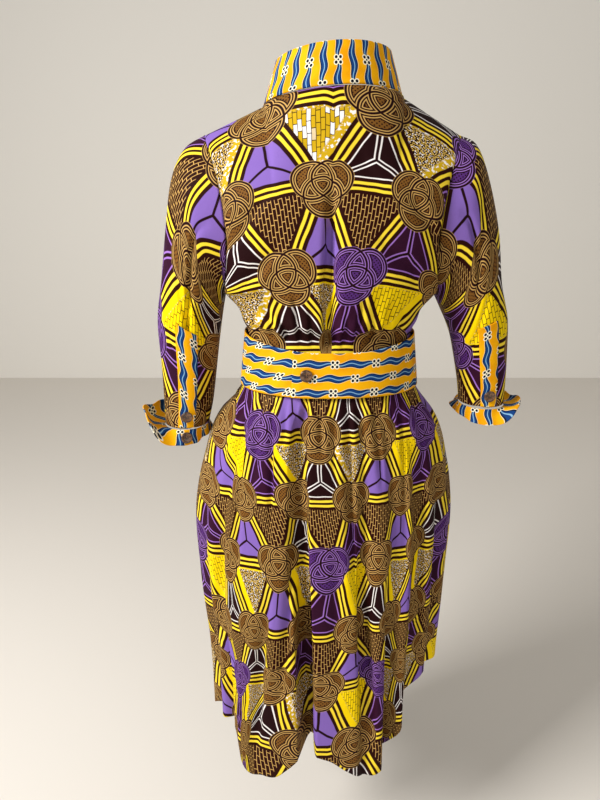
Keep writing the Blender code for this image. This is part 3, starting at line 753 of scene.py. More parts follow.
# ---------------------------------------------------------------------------
# FRONT BODICE AND ITS BUTTON BAND
# Two fronts that meet at the centre front under one band. The wearer's front is plain:
# a low round neck, the buttons, and soft folds over the belt.
# ---------------------------------------------------------------------------
BAND_HALF = 0.016
BAND_LIFT = 0.0021         # how far the band stands off the fronts
BAND_SHIFT = 0.04          # the band is cut from this far along the print
BAND_UP = (0.165, 0.985)   # the part of the fronts that it covers
FRONT_RATE = 1.12          # print to each metre across and up, and below the waist
FRONT_UP_RATE = 1.05
FRONT_START = 0.14


def front_cloth(points):
    """Where a front lies on the flat print: across the body, and up from the waist."""
    up = lengths(points, 0) * FRONT_UP_RATE - FRONT_START
    return np.stack([points[..., 0] * FRONT_RATE, up], axis=-1)


FRONT_CREASES = [          # from x, z to x, z, width and depth
    (0.035, -0.352, 0.040, -0.280, 0.006, 0.0040),
    (0.065, -0.350, 0.076, -0.300, 0.006, 0.0045),
    (0.098, -0.345, 0.118, -0.270, 0.007, 0.0040),
    (0.060, -0.120, 0.125, -0.200, 0.013, 0.0035),
    (-0.040, -0.352, -0.043, -0.295, 0.006, 0.0040),
    (-0.072, -0.350, -0.086, -0.280, 0.006, 0.0045),
    (-0.104, -0.345, -0.120, -0.290, 0.007, 0.0040),
    (-0.070, -0.130, -0.130, -0.195, 0.013, 0.0035),
]
gap = SEAM_GAP / (2 * ARMPIT_X)
for side, columns in (("right", np.linspace(gap, 1, 75)), ("left", np.linspace(-1, -gap, 75))):
    across, up = grid(columns, np.linspace(0, 1, 110))
    points = bodice_points(across, up, 1)
    print_place = front_cloth(points)
    points = dent(points, points[..., [0, 2]], FRONT_CREASES, -1.0)
    front = shell("front_%s_cloth" % side, points, print_place, CLOTH, WAX, -1.0)
    stands_for(front, "front_" + side)

across, up = grid(np.linspace(-BAND_HALF, BAND_HALF, 9) / ARMPIT_X,
                  np.linspace(*BAND_UP, 110))
points = bodice_points(across, up, 1)
points = points + normals(points, -1.0, False) * BAND_LIFT
print_place = front_cloth(points) + [BAND_SHIFT, 0.0]
band = shell("bodice_band_cloth", points, print_place, CLOTH, WAX, -1.0)
stands_for(band, "band_bodice")

# ---------------------------------------------------------------------------
# SKIRT
# A back and two fronts, gathered under the belt. The back hangs in uneven folds round
# one deep centre pleat, and its hem is cut like a shirt's tail.
# ---------------------------------------------------------------------------
BELT_BOTTOM_Z = -0.426
HIP_Z = -0.442
KNEE_Z = -0.850
LOWEST_Z = -1.130
UNDER_BELT = 0.03          # drop below the belt over which the folds open

FOLDS = dict(              # turns at the hem and the waist, half width, and depths going down
    turn=      [-0.020, -0.145, -0.112, -0.190, 0.045, 0.084, 0.118, 0.165, 0.215,
                0.330, 0.415, 0.590, 0.680],
    waist_turn=[-0.040, -0.115, -0.085, -0.165, 0.035, 0.070, 0.105, 0.150, 0.205,
                0.340, 0.430, 0.575, 0.665],
    half_width=[0.011, 0.016, 0.030, 0.026, 0.014, 0.018, 0.020, 0.022, 0.022,
                0.030, 0.028, 0.028, 0.030],
    waist=     [0.008, 0.004, 0.000, 0.002, 0.005, 0.003, 0.002, 0.002, 0.001,
                0.003, 0.003, 0.003, 0.003],
    knee=      [0.030, 0.010, -0.003, 0.010, 0.014, 0.018, 0.012, 0.010, 0.008,
                0.012, 0.010, 0.010, 0.012],
    hem=       [0.060, 0.036, -0.010, 0.018, 0.010, 0.045, 0.030, 0.024, 0.014,
                0.022, 0.020, 0.020, 0.022],
)

HEM = dict(                # level of the hem by turn: lowest at the back
    turn=[-0.30, -0.25, -0.22, -0.20, -0.16, -0.142, -0.124, -0.110, -0.08, -0.06,
          -0.045, -0.02, 0.00, 0.02, 0.045, 0.070, 0.084, 0.095, 0.108, 0.120,
          0.135, 0.160, 0.200, 0.250, 0.350, 0.500, 0.620, 0.700],
    z=   [-1.060, -1.098, -1.074, -1.056, -1.055, -1.050, -1.060, -1.115, -1.130, -1.124,
          -1.104, -1.072, -1.078, -1.102, -1.122, -1.112, -1.102, -1.062, -1.016, -0.978,
          -0.950, -0.944, -0.942, -0.962, -0.985, -1.020, -1.030, -1.060],
)


def squared_ellipse(turn, half, depth):
    """A ring of given half width and depth, from a powered sine and cosine of the turn."""
    sine = np.sin(2 * np.pi * turn)
    cosine = np.cos(2 * np.pi * turn)
    power = 2.0 / SQUARENESS
    return (half * np.sign(sine) * np.abs(sine) ** power,
            -depth * np.sign(cosine) * np.abs(cosine) ** power)


def body_ring(turn, z):
    """A point of the body's section: a squared ellipse, deeper or flatter by level."""
    depth = np.where(np.cos(2 * np.pi * turn) > 0, at_level(BODY, "back", z),
                     at_level(BODY, "front", z))
    x, y = squared_ellipse(turn, at_level(BODY, "half", z), depth)
    return np.stack([x + at_level(BODY, "lean", z), y, z + 0 * x], axis=-1)


def skirt_points(turn, z):
    """The body's section, pushed in along each fold, more towards the hem."""
    points = body_ring(turn, z)
    down = ramp(z, WAIST_Z, KNEE_Z)
    lower = ramp(z, KNEE_Z, LOWEST_Z)
    push = 0 * turn
    for at_hem, at_waist, half, waist, knee, hem in zip(*FOLDS.values()):
        deep = blend(waist, knee, down) + (hem - knee) * lower
        push = push + deep * near(turn, blend(at_waist, at_hem, down), half)
    push = push * ramp(z, BELT_BOTTOM_Z, BELT_BOTTOM_Z - UNDER_BELT)
    inward = -points * [1.0, 1.0, 0.0]
    inward = inward / np.linalg.norm(inward, axis=-1, keepdims=True)
    return points + inward * push[..., None]


def hem_z(turn):
    """Level of the hem round the body."""
    return smooth(HEM["turn"], HEM["z"], (np.asarray(turn) + 0.3) % 1.0 - 0.3)


def skirt_level(turn, down):
    """Level of a skirt row: below 0 for the rows under the belt, then 0 to 1 to the hem."""
    under_belt = blend(HIP_Z, WAIST_Z - SEAM_GAP, -down)
    return np.where(down < 0, under_belt, blend(HIP_Z, hem_z(turn), down))


PRINT_COLUMNS = dict(      # across the back skirt: where each lattice column of the print hangs
    z=     [-1.140, -1.060, -0.930, -0.830, -0.700, -0.590, -0.487, -0.430],
    minus2=[-0.185, -0.182, -0.164, -0.170, -0.177, -0.175, -0.181, -0.148],
    minus1=[-0.150, -0.148, -0.112, -0.098, -0.087, -0.105, -0.114, -0.100],
    middle=[-0.020, -0.020, -0.014, -0.012, 0.001, -0.015, -0.020, -0.018],
    plus1= [0.125, 0.120, 0.095, 0.078, 0.080, 0.078, 0.076, 0.068],
    plus2= [0.190, 0.185, 0.162, 0.148, 0.162, 0.155, 0.154, 0.128],
)
PRINT_ROWS_Z = [-1.19, -1.06, -0.931, -0.833, -0.70, -0.59, -0.487, -0.372]
PRINT_LIFT = 0.05          # how much higher the print's rows hang at the wearer's right
PRINT_LIFT_ARC = 0.22
PRINT_LIFT_Z = (-0.45, -1.05)
PRINT_GATHER = 0.036       # how far columns between rosettes are drawn in, in lattice sides
PRINT_EDGE = 0.12          # cloth to a lattice side beyond the last columns
FRONT_GATHER = 1.5         # print to each metre round the fronts


def way_round(x, z):
    """The way round the back, from its middle, to a place x across at a level z."""
    turn, level = grid(np.linspace(-0.2499, 0.2499, 121), [z])
    ring = body_ring(turn, level)
    run = lengths(ring, 1)[0]
    return np.interp(x, ring[0, :, 0], run - run[len(run) // 2])


def along_cloth(ring_arc, cloth_arc, level):
    """For each row, the length along the folded cloth at a length round the smooth body.

    It lies between the two columns whose lengths round the body enclose the level.
    """
    rows = np.arange(len(ring_arc))
    past = ring_arc > level
    k = np.where(past.any(axis=1), np.argmax(past, axis=1), ring_arc.shape[1] - 1)
    k = np.maximum(k, 1)
    low, high = ring_arc[rows, k - 1], ring_arc[rows, k]
    share = (level[rows, k] - low) / (high - low)
    return blend(cloth_arc[rows, k - 1], cloth_arc[rows, k], share)[:, None]


def skirt_hang(turn, z):
    """Where a skirt point hangs: how far across the smooth body it is, and its level."""
    return np.stack([body_ring(turn, z)[..., 0], z], axis=-1)


def skirt_print(turn, z, points):
    """Where a skirt point lies on the flat print, which hangs a little higher towards the
    wearer's right. On the back it is spread evenly along the folded cloth between the
    listed columns, and drawn in between the rosettes by a sine across times a
    cosine up. On the fronts it follows the way round the body.
    """
    arc = lengths(body_ring(turn, z), 1)
    start = 0.5 if turn[0, 0] > 0.2 else 0.0
    middle = np.argmin(np.abs(turn[0] - start))
    arc = arc - arc[:, middle:middle + 1]
    lift = PRINT_LIFT * np.clip(arc / PRINT_LIFT_ARC, 0, 1.2) * ramp(z, *PRINT_LIFT_Z)
    v = smooth(PRINT_ROWS_Z, ROW * LATTICE * np.arange(-6, 2), z - lift)
    if start:
        return np.stack([arc * FRONT_GATHER, v], axis=-1)
    cloth_arc = lengths(points, 1)
    levels = PRINT_COLUMNS["z"]
    knots = []
    for name in ("minus2", "minus1", "middle", "plus1", "plus2"):
        run = [way_round(x, level) for x, level in zip(PRINT_COLUMNS[name], levels)]
        knots.append(along_cloth(arc, cloth_arc, smooth(levels, run, z)))
    columns = -2 + sum(ramp(cloth_arc, low, high) for low, high in zip(knots, knots[1:]))
    past = np.minimum(cloth_arc - knots[0], 0) + np.maximum(cloth_arc - knots[-1], 0)
    columns = columns + past / PRINT_EDGE
    drawn_in = np.sin(2 * np.pi * columns) * np.cos(np.pi * v / (ROW * LATTICE))
    return np.stack([(columns - PRINT_GATHER * drawn_in) * LATTICE, v], axis=-1)


SKIRT_CREASES = [          # from x, z to x, z, width and depth
    (-0.042, -0.420, -0.037, -1.140, 0.0100, 0.0200),
    (-0.150, -0.436, -0.172, -0.540, 0.0050, 0.0050),
    (-0.126, -0.434, -0.140, -0.500, 0.0045, 0.0045),
    (-0.108, -0.432, -0.122, -0.570, 0.0060, 0.0055),
    (-0.088, -0.400, -0.096, -0.660, 0.0045, 0.0065),
    (-0.068, -0.430, -0.074, -0.510, 0.0050, 0.0045),
    (-0.052, -0.430, -0.058, -0.570, 0.0060, 0.0050),
    (-0.018, -0.430, -0.012, -0.520, 0.0050, 0.0055),
    (0.004, -0.430, 0.008, -0.570, 0.0060, 0.0050),
    (0.024, -0.400, 0.046, -0.780, 0.0065, 0.0130),
    (0.046, -0.430, 0.056, -0.520, 0.0050, 0.0045),
    (0.068, -0.432, 0.084, -0.580, 0.0060, 0.0060),
    (0.092, -0.433, 0.108, -0.510, 0.0050, 0.0045),
    (0.112, -0.420, 0.132, -0.760, 0.0055, 0.0075),
    (0.134, -0.437, 0.155, -0.530, 0.0050, 0.0045),
    (-0.050, -0.600, -0.084, -1.000, 0.0090, 0.0120),
    (-0.098, -0.740, -0.132, -1.120, 0.0100, 0.0120),
    (-0.140, -0.500, -0.152, -0.740, 0.0070, 0.0065),
    (-0.180, -0.560, -0.196, -0.960, 0.0090, 0.0070),
    (0.012, -0.660, 0.020, -0.960, 0.0110, 0.0055),
    (0.052, -0.560, 0.083, -1.110, 0.0110, 0.0140),
    (0.150, -0.500, 0.168, -0.940, 0.0090, 0.0110),
    (0.100, -0.720, 0.118, -0.960, 0.0090, 0.0070),
    (0.185, -0.600, 0.198, -0.900, 0.0070, 0.0060),
]


def make_skirt(name, node, turns, rows, creases):
    """One panel of the skirt, with its print and creases, seen in place of its solid."""
    turn, down = grid(turns, rows)
    z = skirt_level(turn, down)
    points = dent(skirt_points(turn, z), skirt_hang(turn, z), creases, -1.0)
    panel = shell(name, points, skirt_print(turn, z, points), CLOTH, WAX, -1.0)
    stands_for(panel, node)


SEAM_TURN = SEAM_GAP / (4 * np.pi * 0.125)   # half a seam's gap, as a turn of the body
skirt_rows = np.concatenate([np.linspace(-1, 0, 8)[:-1], np.linspace(0, 1, 170)])
LEAST_STEP = 0.0006        # columns that would lie closer than this turn are left out
even = np.linspace(-0.25 + SEAM_TURN, 0.25 - SEAM_TURN, 190)
pleat = np.linspace(-0.066, 0.006, 64)       # closer columns round the centre fold
back_turns = np.sort(np.concatenate([even, pleat]))
back_turns = back_turns[np.concatenate([[True], np.diff(back_turns) > LEAST_STEP])]
back_turns[-1] = even[-1]
make_skirt("skirt_back_cloth", "skirt_back", back_turns, skirt_rows, SKIRT_CREASES)
opening = SEAM_TURN / 4    # half the gap between the fronts, under their band
FRONT_SKIRT_CREASES = [    # from x, z to x, z, width and depth
    (-0.160, -0.436, -0.180, -0.560, 0.007, 0.0050),
    (-0.120, -0.433, -0.130, -0.640, 0.008, 0.0060),
    (-0.080, -0.431, -0.088, -0.540, 0.006, 0.0050),
    (-0.045, -0.430, -0.050, -0.620, 0.007, 0.0050),
    (-0.100, -0.640, -0.110, -0.960, 0.015, 0.0060),
    (0.050, -0.430, 0.056, -0.560, 0.007, 0.0050),
    (0.090, -0.432, 0.100, -0.650, 0.007, 0.0060),
    (0.130, -0.434, 0.142, -0.540, 0.006, 0.0050),
    (0.165, -0.436, 0.185, -0.600, 0.008, 0.0050),
    (0.110, -0.660, 0.122, -0.960, 0.015, 0.0060),
]
make_skirt("skirt_front_right_cloth", "skirt_front_right",
           np.linspace(0.25 + SEAM_TURN, 0.5 - opening, 110), skirt_rows,
           FRONT_SKIRT_CREASES)
make_skirt("skirt_front_left_cloth", "skirt_front_left",
           np.linspace(0.5 + opening, 0.75 - SEAM_TURN, 110), skirt_rows,
           FRONT_SKIRT_CREASES)

SKIRT_BAND_HALF = 0.012    # as a turn of the body
SKIRT_BAND_SHIFT = 0.05    # the band is cut from this far along the print
turn, down = grid(np.linspace(0.5 - SKIRT_BAND_HALF, 0.5 + SKIRT_BAND_HALF, 9),
                  np.linspace(0, 1, 150))
z = skirt_level(turn, down)
points = skirt_points(turn, z)
points = points + normals(points, -1.0, False) * BAND_LIFT
print_place = skirt_print(turn, z, points) + [SKIRT_BAND_SHIFT, 0.0]
band = shell("skirt_band_cloth", points, print_place, CLOTH, WAX, -1.0)
stands_for(band, "band_skirt")

# ---------------------------------------------------------------------------
# SLEEVES
# Three quarter sleeves cut with the print upside down. They hang a little away from the
# body, bent at the elbow, and each is sewn into its armhole.
# ---------------------------------------------------------------------------
SLEEVE = dict(             # inner and outer edge of each section, armhole to sleeve end
    left=dict(
        in_x= [0.1680, 0.1700, 0.1725, 0.1750, 0.1785, 0.1830, 0.1890, 0.1960, 0.2050],
        in_z= [-0.280, -0.292, -0.305, -0.320, -0.342, -0.372, -0.415, -0.462, -0.502],
        out_x=[0.1900, 0.2210, 0.2430, 0.2560, 0.2690, 0.2800, 0.2790, 0.2790, 0.2795],
        out_z=[-0.047, -0.066, -0.108, -0.176, -0.258, -0.324, -0.396, -0.456, -0.500],
        depth=[0.0820, 0.0800, 0.0760, 0.0710, 0.0640, 0.0570, 0.0500, 0.0450, 0.0430]),
    right=dict(
        in_x= [0.1680, 0.1715, 0.1765, 0.1825, 0.1915, 0.2010, 0.2105, 0.2190, 0.2240],
        in_z= [-0.280, -0.288, -0.298, -0.310, -0.328, -0.352, -0.390, -0.430, -0.464],
        out_x=[0.1900, 0.2150, 0.2370, 0.2590, 0.2725, 0.2890, 0.2950, 0.2975, 0.2980],
        out_z=[-0.047, -0.060, -0.106, -0.180, -0.260, -0.320, -0.385, -0.428, -0.464],
        depth=[0.0820, 0.0800, 0.0760, 0.0710, 0.0640, 0.0560, 0.0490, 0.0440, 0.0420]),
)
SIDES = dict(left=-1.0, right=1.0)
SLEEVE_END = 8.0
ROSETTE_ANGLE = dict(left=1.50, right=1.47)      # where the elbow's rosette sits
ROSETTE_ALONG = dict(left=2.65, right=3.05)
ROSETTE_COLUMN = 6.5                             # and its column and row of the print
ROSETTE_ROW = 9
DENT_END = 1.2                                   # how far along the armhole's dent fades


def sleeve_points(side, along, angle):
    """A sleeve over along (0 armhole to 8 its end) and angle (0 outer edge, pi / 2 back).

    Each section is an ellipse between its two edges, dented where it meets the armhole.
    """
    table = SLEEVE[side]
    rows = np.arange(len(table["in_x"]))
    place = {name: smooth(rows, table[name], along) for name in table}
    middle_x = (place["out_x"] + place["in_x"]) / 2
    middle_z = (place["out_z"] + place["in_z"]) / 2
    dent_in = ARMHOLE_DENT * np.sin(angle) ** 2 * ramp(along, DENT_END, 0.0) ** 2
    x = middle_x + (place["out_x"] - place["in_x"]) / 2 * np.cos(angle) + SEAM_GAP - dent_in
    z = middle_z + (place["out_z"] - place["in_z"]) / 2 * np.cos(angle)
    y = -place["depth"] * np.sin(angle)
    return np.stack([SIDES[side] * x, y, z], axis=-1)


def sleeve_cloth(side, points, along, angle):
    """Where a sleeve lies on the flat print: round the arm, and down it, from the elbow's
    rosette.
    """
    round_arm = lengths(points, 1)
    column = np.argmin(np.abs(angle[0] - ROSETTE_ANGLE[side]))
    round_arm = round_arm - round_arm[:, column:column + 1]
    down_arm = lengths(points, 0)
    row = np.argmin(np.abs(along[:, 0] - ROSETTE_ALONG[side]))
    down_arm = (down_arm - down_arm[row:row + 1])[:, column:column + 1]
    u = ROSETTE_COLUMN * LATTICE - SIDES[side] * round_arm
    return np.stack([u, ROSETTE_ROW * ROW * LATTICE + down_arm + 0 * u], axis=-1)


SLEEVE_CREASES = dict(     # from round, down to round, down the arm, width and depth
    left=[
        (0.000, 0.020, 0.004, 0.240, 0.0060, 0.0095),
        (-0.050, 0.090, 0.010, 0.150, 0.0100, 0.0035),
        (-0.045, 0.150, 0.030, 0.200, 0.0100, 0.0035),
        (0.060, 0.060, 0.020, 0.140, 0.0110, 0.0040),
        (-0.040, 0.270, 0.020, 0.300, 0.0090, 0.0030),
        (0.050, 0.250, 0.010, 0.330, 0.0090, 0.0030),
    ],
    right=[
        (0.010, 0.020, -0.008, 0.130, 0.0070, 0.0085),
        (0.050, 0.060, -0.010, 0.120, 0.0100, 0.0040),
        (-0.060, 0.080, 0.000, 0.160, 0.0110, 0.0045),
        (-0.050, 0.150, 0.020, 0.190, 0.0100, 0.0035),
        (0.040, 0.230, -0.020, 0.290, 0.0090, 0.0035),
        (-0.040, 0.250, 0.010, 0.330, 0.0090, 0.0030),
    ],
)


def tube_normals(points, out_sign):
    """Unit normals of a grid whose last column repeats its first."""
    n = normals(points[:, :-1], out_sign, True)
    return np.concatenate([n, n[:, :1]], axis=1)


for side, sign in SIDES.items():
    angle, along = grid(np.linspace(-np.pi, np.pi, 121), np.linspace(0, SLEEVE_END, 130))
    points = sleeve_points(side, along, angle)
    print_place = sleeve_cloth(side, points, along, angle)
    middle = np.argmin(np.abs(angle[0] - np.pi / 2))
    round_arm = lengths(points, 1)
    round_arm = -sign * (round_arm - round_arm[:, middle:middle + 1])
    height = crease(np.stack([round_arm, lengths(points, 0)], axis=-1), SLEEVE_CREASES[side])
    points = points + tube_normals(points, sign) * height[..., None]
    sleeve = shell("sleeve_%s_cloth" % side, points[:, :-1], print_place, CLOTH, WAX, sign,
                   closed=True)
    stands_for(sleeve, "sleeve_" + side)

# ---------------------------------------------------------------------------
# SLEEVE STRIPS AND CUFFS
# A strip of the trim print runs up the back of each sleeve and holds a button. The
# sleeve ends in a doubled cuff of the trim, turned up along the outside.
# ---------------------------------------------------------------------------
DOUBLE = 0.0016            # thickness of doubled cloth
STRIP = dict(              # angle and upper end on the sleeve, and its place on the print
    left=dict(angle=1.70, top=4.60, cut=0.0020),
    right=dict(angle=1.54, top=4.75, cut=0.0085),
)
STRIP_HALF = 0.0150
STRIP_CUT_UP = 0.016
STRIP_END = 7.95
STRIP_LIFT = 0.0022        # how far the strip stands off the sleeve
CUFF_DROP = 0.0032         # the cuff's seam lies this far below the sleeve's end
CUFF_GAP = 0.0005
CUFF_BOW = 0.008           # how far the turned up part bows out
CUFF_RIPPLE = 0.0045       # how far the free edge ripples
CUFF = dict(               # by angle round the sleeve: degrees turned up, and length
    left=dict(angle= [0, 40, 75, 100, 180, 215, 270, 330, 360],
              tilt=  [42, 30, -55, -80, -84, -70, 10, 40, 42],
              length=[0.044, 0.040, 0.027, 0.026, 0.018, 0.018, 0.030, 0.040, 0.044]),
    right=dict(angle= [0, 40, 75, 100, 180, 215, 270, 330, 360],
               tilt=  [22, 5, -60, -74, -62, -40, 10, 25, 22],
               length=[0.026, 0.027, 0.027, 0.026, 0.016, 0.018, 0.025, 0.026, 0.026]),
)
AMBER = srgb(242, 174, 8)
ORANGE = srgb(228, 152, 4)
NAVY = srgb(18, 58, 116)
INK = srgb(12, 18, 34)
CREAM = srgb(245, 240, 215)
PALE_BLUE = srgb(132, 178, 208)
STRIPE = 0.022             # from stripe to stripe, and from flower to flower
FLOWER_STEP = 0.064
PRINTED_EDGE = 0.0005      # softness of the trim's printed edges
SPINDLE_HALF = 0.0043      # a spindle's half width at its middle and at its ends
SPINDLE_END = 0.0005
SPINDLE_SWAY = 0.0015      # how far a spindle, and the pale line in it, sway
LINE_SWAY = 0.0018
PETAL_ACROSS = 0.0032      # from a flower's middle to its four dots
PETAL_UP = 0.0034
PETAL = 0.0034             # radius of a petal, and of the dark dot on it
PETAL_DOT = 0.0022


def trim_print():
    """The trim print: navy spindle stripes on amber, each with a pale wavy line down its
    middle. Where two spindles meet there is a flower: four pale petals, each with a dark
    dot, round a smaller one. A spindle's half width is a powered sine of its length.
    """
    made, tree, flat = start_material("trim_print")
    drawn = use(tree, drawn_by_hand(reach=0.0016), flat).outputs[0]
    u, v = across_and_up(tree, drawn)
    number = (u * (1 / STRIPE)).floor()
    across = (u * (1 / STRIPE) - number - 0.5) * STRIPE
    phase = (v * (1 / FLOWER_STEP) + (number % 2.0) * 0.5) % 1.0
    wave = (phase * (4 * math.pi)).math("SINE")
    half = (phase * math.pi).math("SINE").math("POWER", 1.1) * SPINDLE_HALF + SPINDLE_END
    over = (across + wave * SPINDLE_SWAY).size() - half
    line = (across + wave * LINE_SWAY).size()
    ground = Wire(tree, noise(tree, drawn, scale=24.0, detail=2.0).outputs[0])
    paint = Paint(tree, AMBER).over(ground.above(0.55, 0.25), ORANGE)
    paint = paint.over(over.below(0.0014, PRINTED_EDGE), CREAM)
    paint = paint.over(over.below(0.0010, PRINTED_EDGE), INK)
    paint = paint.over(over.below(-0.0004, PRINTED_EDGE), NAVY)
    paint = paint.over(line.below(0.0006, PRINTED_EDGE), PALE_BLUE)
    from_flower = (phase - 0.5).size().minus_from(0.5) * FLOWER_STEP
    petal = (across.size() - PETAL_ACROSS).length_with(from_flower - PETAL_UP)
    petal = petal.least(across.length_with(from_flower) + 0.0008)
    paint = paint.over(petal.below(PETAL, 0.0006), CREAM)
    paint = paint.over(petal.below(PETAL_DOT, PRINTED_EDGE), INK)
    finish_cloth(tree, flat, paint, roughness=0.6)
    return made


TRIM = trim_print()


def cuff_points(side, angle, out):
    """A turned up cuff over angle, and out (0 at the sleeve's end to 1 at its free edge).

    It hangs down at the back and inside, and turns up along the outside and front. Each
    column leaves the sleeve's end at its own tilt, and two sine waves ripple the edge.
    """
    end = sleeve_points(side, SLEEVE_END + 0 * angle, angle)
    table = SLEEVE[side]
    centre_x = SIDES[side] * (table["in_x"][-1] + table["out_x"][-1]) / 2
    away = (end - [centre_x, 0.0, 0.0]) * [1.0, 1.0, 0.0]
    away = away / np.linalg.norm(away, axis=-1, keepdims=True)
    degrees = np.degrees(angle) % 360.0
    tilt = np.radians(smooth(CUFF[side]["angle"], CUFF[side]["tilt"], degrees))
    length = smooth(CUFF[side]["angle"], CUFF[side]["length"], degrees) * out
    bow = CUFF_BOW * np.sin(np.pi * out) * np.clip(tilt, 0, 1)
    ripple = CUFF_RIPPLE * out * (np.sin(9 * angle + 1) + np.sin(4 * angle)) / 2
    points = end + away * (CUFF_GAP + length * np.cos(tilt) + bow)[..., None]
    points = points + away * (ripple * np.abs(np.sin(tilt)))[..., None]
    points[..., 2] = (table["out_z"][-1] - CUFF_DROP + length * np.sin(tilt) - bow
                      + ripple * np.cos(tilt))
    return points


for side, sign in SIDES.items():
    strip = STRIP[side]
    spread = STRIP_HALF / SLEEVE[side]["depth"][-2]
    angle, along = grid(np.linspace(strip["angle"] - spread, strip["angle"] + spread, 13),
                        np.linspace(strip["top"], STRIP_END, 90))
    points = sleeve_points(side, along, angle)
    points = points + normals(points, sign, False) * STRIP_LIFT
    place = np.stack([strip["cut"] - sign * lengths(points, 1),
                      STRIP_CUT_UP + lengths(points, 0)], axis=-1)
    cloth = shell("strip_%s_cloth" % side, points, place, DOUBLE, TRIM, sign)
    stands_for(cloth, "strip_" + side)

    angle, out = grid(np.linspace(-np.pi, np.pi, 121), np.linspace(0, 1, 24))
    points = cuff_points(side, angle, out)
    place = np.stack([-sign * lengths(points, 1)[:1] + 0 * out, lengths(points, 0)], axis=-1)
    cuff = shell("cuff_%s_cloth" % side, points[:, :-1], place, DOUBLE, TRIM, sign, closed=True)
    stands_for(cuff, "cuff_" + side)

# ---------------------------------------------------------------------------
# COLLAR
# A stand of the trim print that rises all round the neck, popped up, with its front
# ends flared out.
# ---------------------------------------------------------------------------
COLLAR_HEIGHT = 0.056
COLLAR_LEAN = 0.018        # how far in its top edge leans
COLLAR_FLARE = 1.7         # how much its front ends turn out again, in leans
COLLAR_END = 0.47          # its front ends, as turns from the middle of the back
COLLAR_SEAM_RISE = 0.0014


def collar_points(turn, up):
    """The collar over turn and up. It stands on the neck seam and leans a little in, less
    and less from the sides on, so that its front ends turn out.
    """
    angle = 2 * np.pi * turn
    x = NECK_HALF * np.sin(angle)
    face = np.where(np.cos(angle) > 0, -1.0, 1.0)
    depth, seam_z = neck_edge(x, face)
    front = ramp(np.abs(turn), 0.25, 0.45)
    lean = 1 - COLLAR_LEAN / NECK_HALF * up * (1 - COLLAR_FLARE * front)
    z = seam_z + COLLAR_SEAM_RISE + COLLAR_HEIGHT * up
    return np.stack([x * lean, face * depth * lean, z], axis=-1)


turn, up = grid(np.linspace(-COLLAR_END, COLLAR_END, 200), np.linspace(0, 1, 22))
points = collar_points(turn, up)
place = np.stack([lengths(points, 1)[:1] + 0 * up, lengths(points, 0)], axis=-1)
collar = shell("collar_cloth", points, place, DOUBLE, TRIM, 1.0)
stands_for(collar, "collar")

# ---------------------------------------------------------------------------
# BELT
# A stiffened belt of the trim print, its stripes along it. One end laps over the other
# at the back, left of the middle, and buttons there.
# ---------------------------------------------------------------------------
BELT_TOP_BACK_Z = TUCK_SHUT_Z
BELT_TOP_SIDE_Z = -0.341
BELT_LAP_TURN = -0.060     # where the lap starts, and how far round it goes
BELT_LAP = 0.060
BELT_LAP_REACH = 0.9       # how far into the lap its under end reaches
BELT_HALF = [0.1465, 0.1375]   # half width, back and front of the body at its two edges
BELT_BACK = [0.1130, 0.1045]
BELT_FRONT = [0.1110, 0.1045]
BELT_OUT = 0.0015
BELT_LAYER = 0.0025        # a layer of belt and the gap under it
BELT_CUT = 0.003           # the belt is cut from this far across the print


def belt_points(turn, up):
    """The belt over turn and up: a squared ellipse, wider at the bottom edge. Its start
    stands one layer out and eases in over the lap, and its end lies under it.
    """
    top = blend(BELT_TOP_BACK_Z, BELT_TOP_SIDE_Z, np.sin(np.pi * turn * 2) ** 2)
    lap = ramp(turn, BELT_LAP_TURN, BELT_LAP_TURN + BELT_LAP)
    out = BELT_OUT + BELT_LAYER * (1 - soft_step(lap))
    half = blend(*BELT_HALF, up) + out
    depth = np.where(np.cos(2 * np.pi * turn) > 0, blend(*BELT_BACK, up), blend(*BELT_FRONT, up))
    x, y = squared_ellipse(turn, half, depth + out)
    return np.stack([x, y, blend(BELT_BOTTOM_Z, top, up)], axis=-1)


turn, up = grid(np.linspace(BELT_LAP_TURN, 1 + BELT_LAP_TURN + BELT_LAP * BELT_LAP_REACH, 420),
                np.linspace(0, 1, 26))
points = belt_points(turn, up)
place = np.stack([BELT_CUT + lengths(points, 0), lengths(points, 1)], axis=-1)
belt = shell("belt_cloth", points, place, DOUBLE, TRIM, 1.0)
stands_for(belt, "belt")

# ---------------------------------------------------------------------------
# BUTTONS
# Round brown shell buttons with a sunk middle, a raised rim, and four thread holes painted on as
# dark shade. They are sewn on the belt, the strips, the left cuff and the front bands.
# ---------------------------------------------------------------------------
BUTTON_R = 0.0095
BUTTON_DEPTH = 0.0026
BUTTON_SIDES = 40
HOLE_FROM_MIDDLE = 0.0017  # across and up to each of the four thread holes
HOLE = 0.0009
BUTTON_PROFILE = dict(     # from the middle over the rim and round to the back
    radius=[0.01, 0.30, 0.52, 0.62, 0.72, 0.84, 0.93, 0.985, 1.0, 0.99, 0.94, 0.86, 0.01],
    level= [0.58, 0.58, 0.60, 0.68, 0.88, 0.99, 0.96, 0.80, 0.55, 0.28, 0.08, 0.00, 0.00],
)


def shell_button():
    """Brown shell: cloudy and glossy, with painted shade: near black discs stand in for the four
    thread holes, which the mesh does not cut.
    """
    made, tree, flat = start_material("shell_button")
    shader = tree.nodes["Principled BSDF"]
    u, v = across_and_up(tree, flat)
    cloud = Wire(tree, noise(tree, flat, scale=160.0, detail=3.0).outputs[0])
    to_hole_shade = (u.size() - HOLE_FROM_MIDDLE).length_with(v.size() - HOLE_FROM_MIDDLE)
    paint = Paint(tree, srgb(58, 38, 26)).over(cloud.above(0.52, 0.2), srgb(112, 78, 50))
    # painted shade: near black discs where the four thread holes would be dark, since the mesh
    # has no holes
    paint = paint.over(to_hole_shade.below(HOLE, 0.0003), srgb(12, 8, 6))
    tree.links.new(paint.colour, shader.inputs["Base Color"])
    shader.inputs["Roughness"].default_value = 0.22
    shader.inputs["Coat Weight"].default_value = 0.4
    return made


SHELL = shell_button()


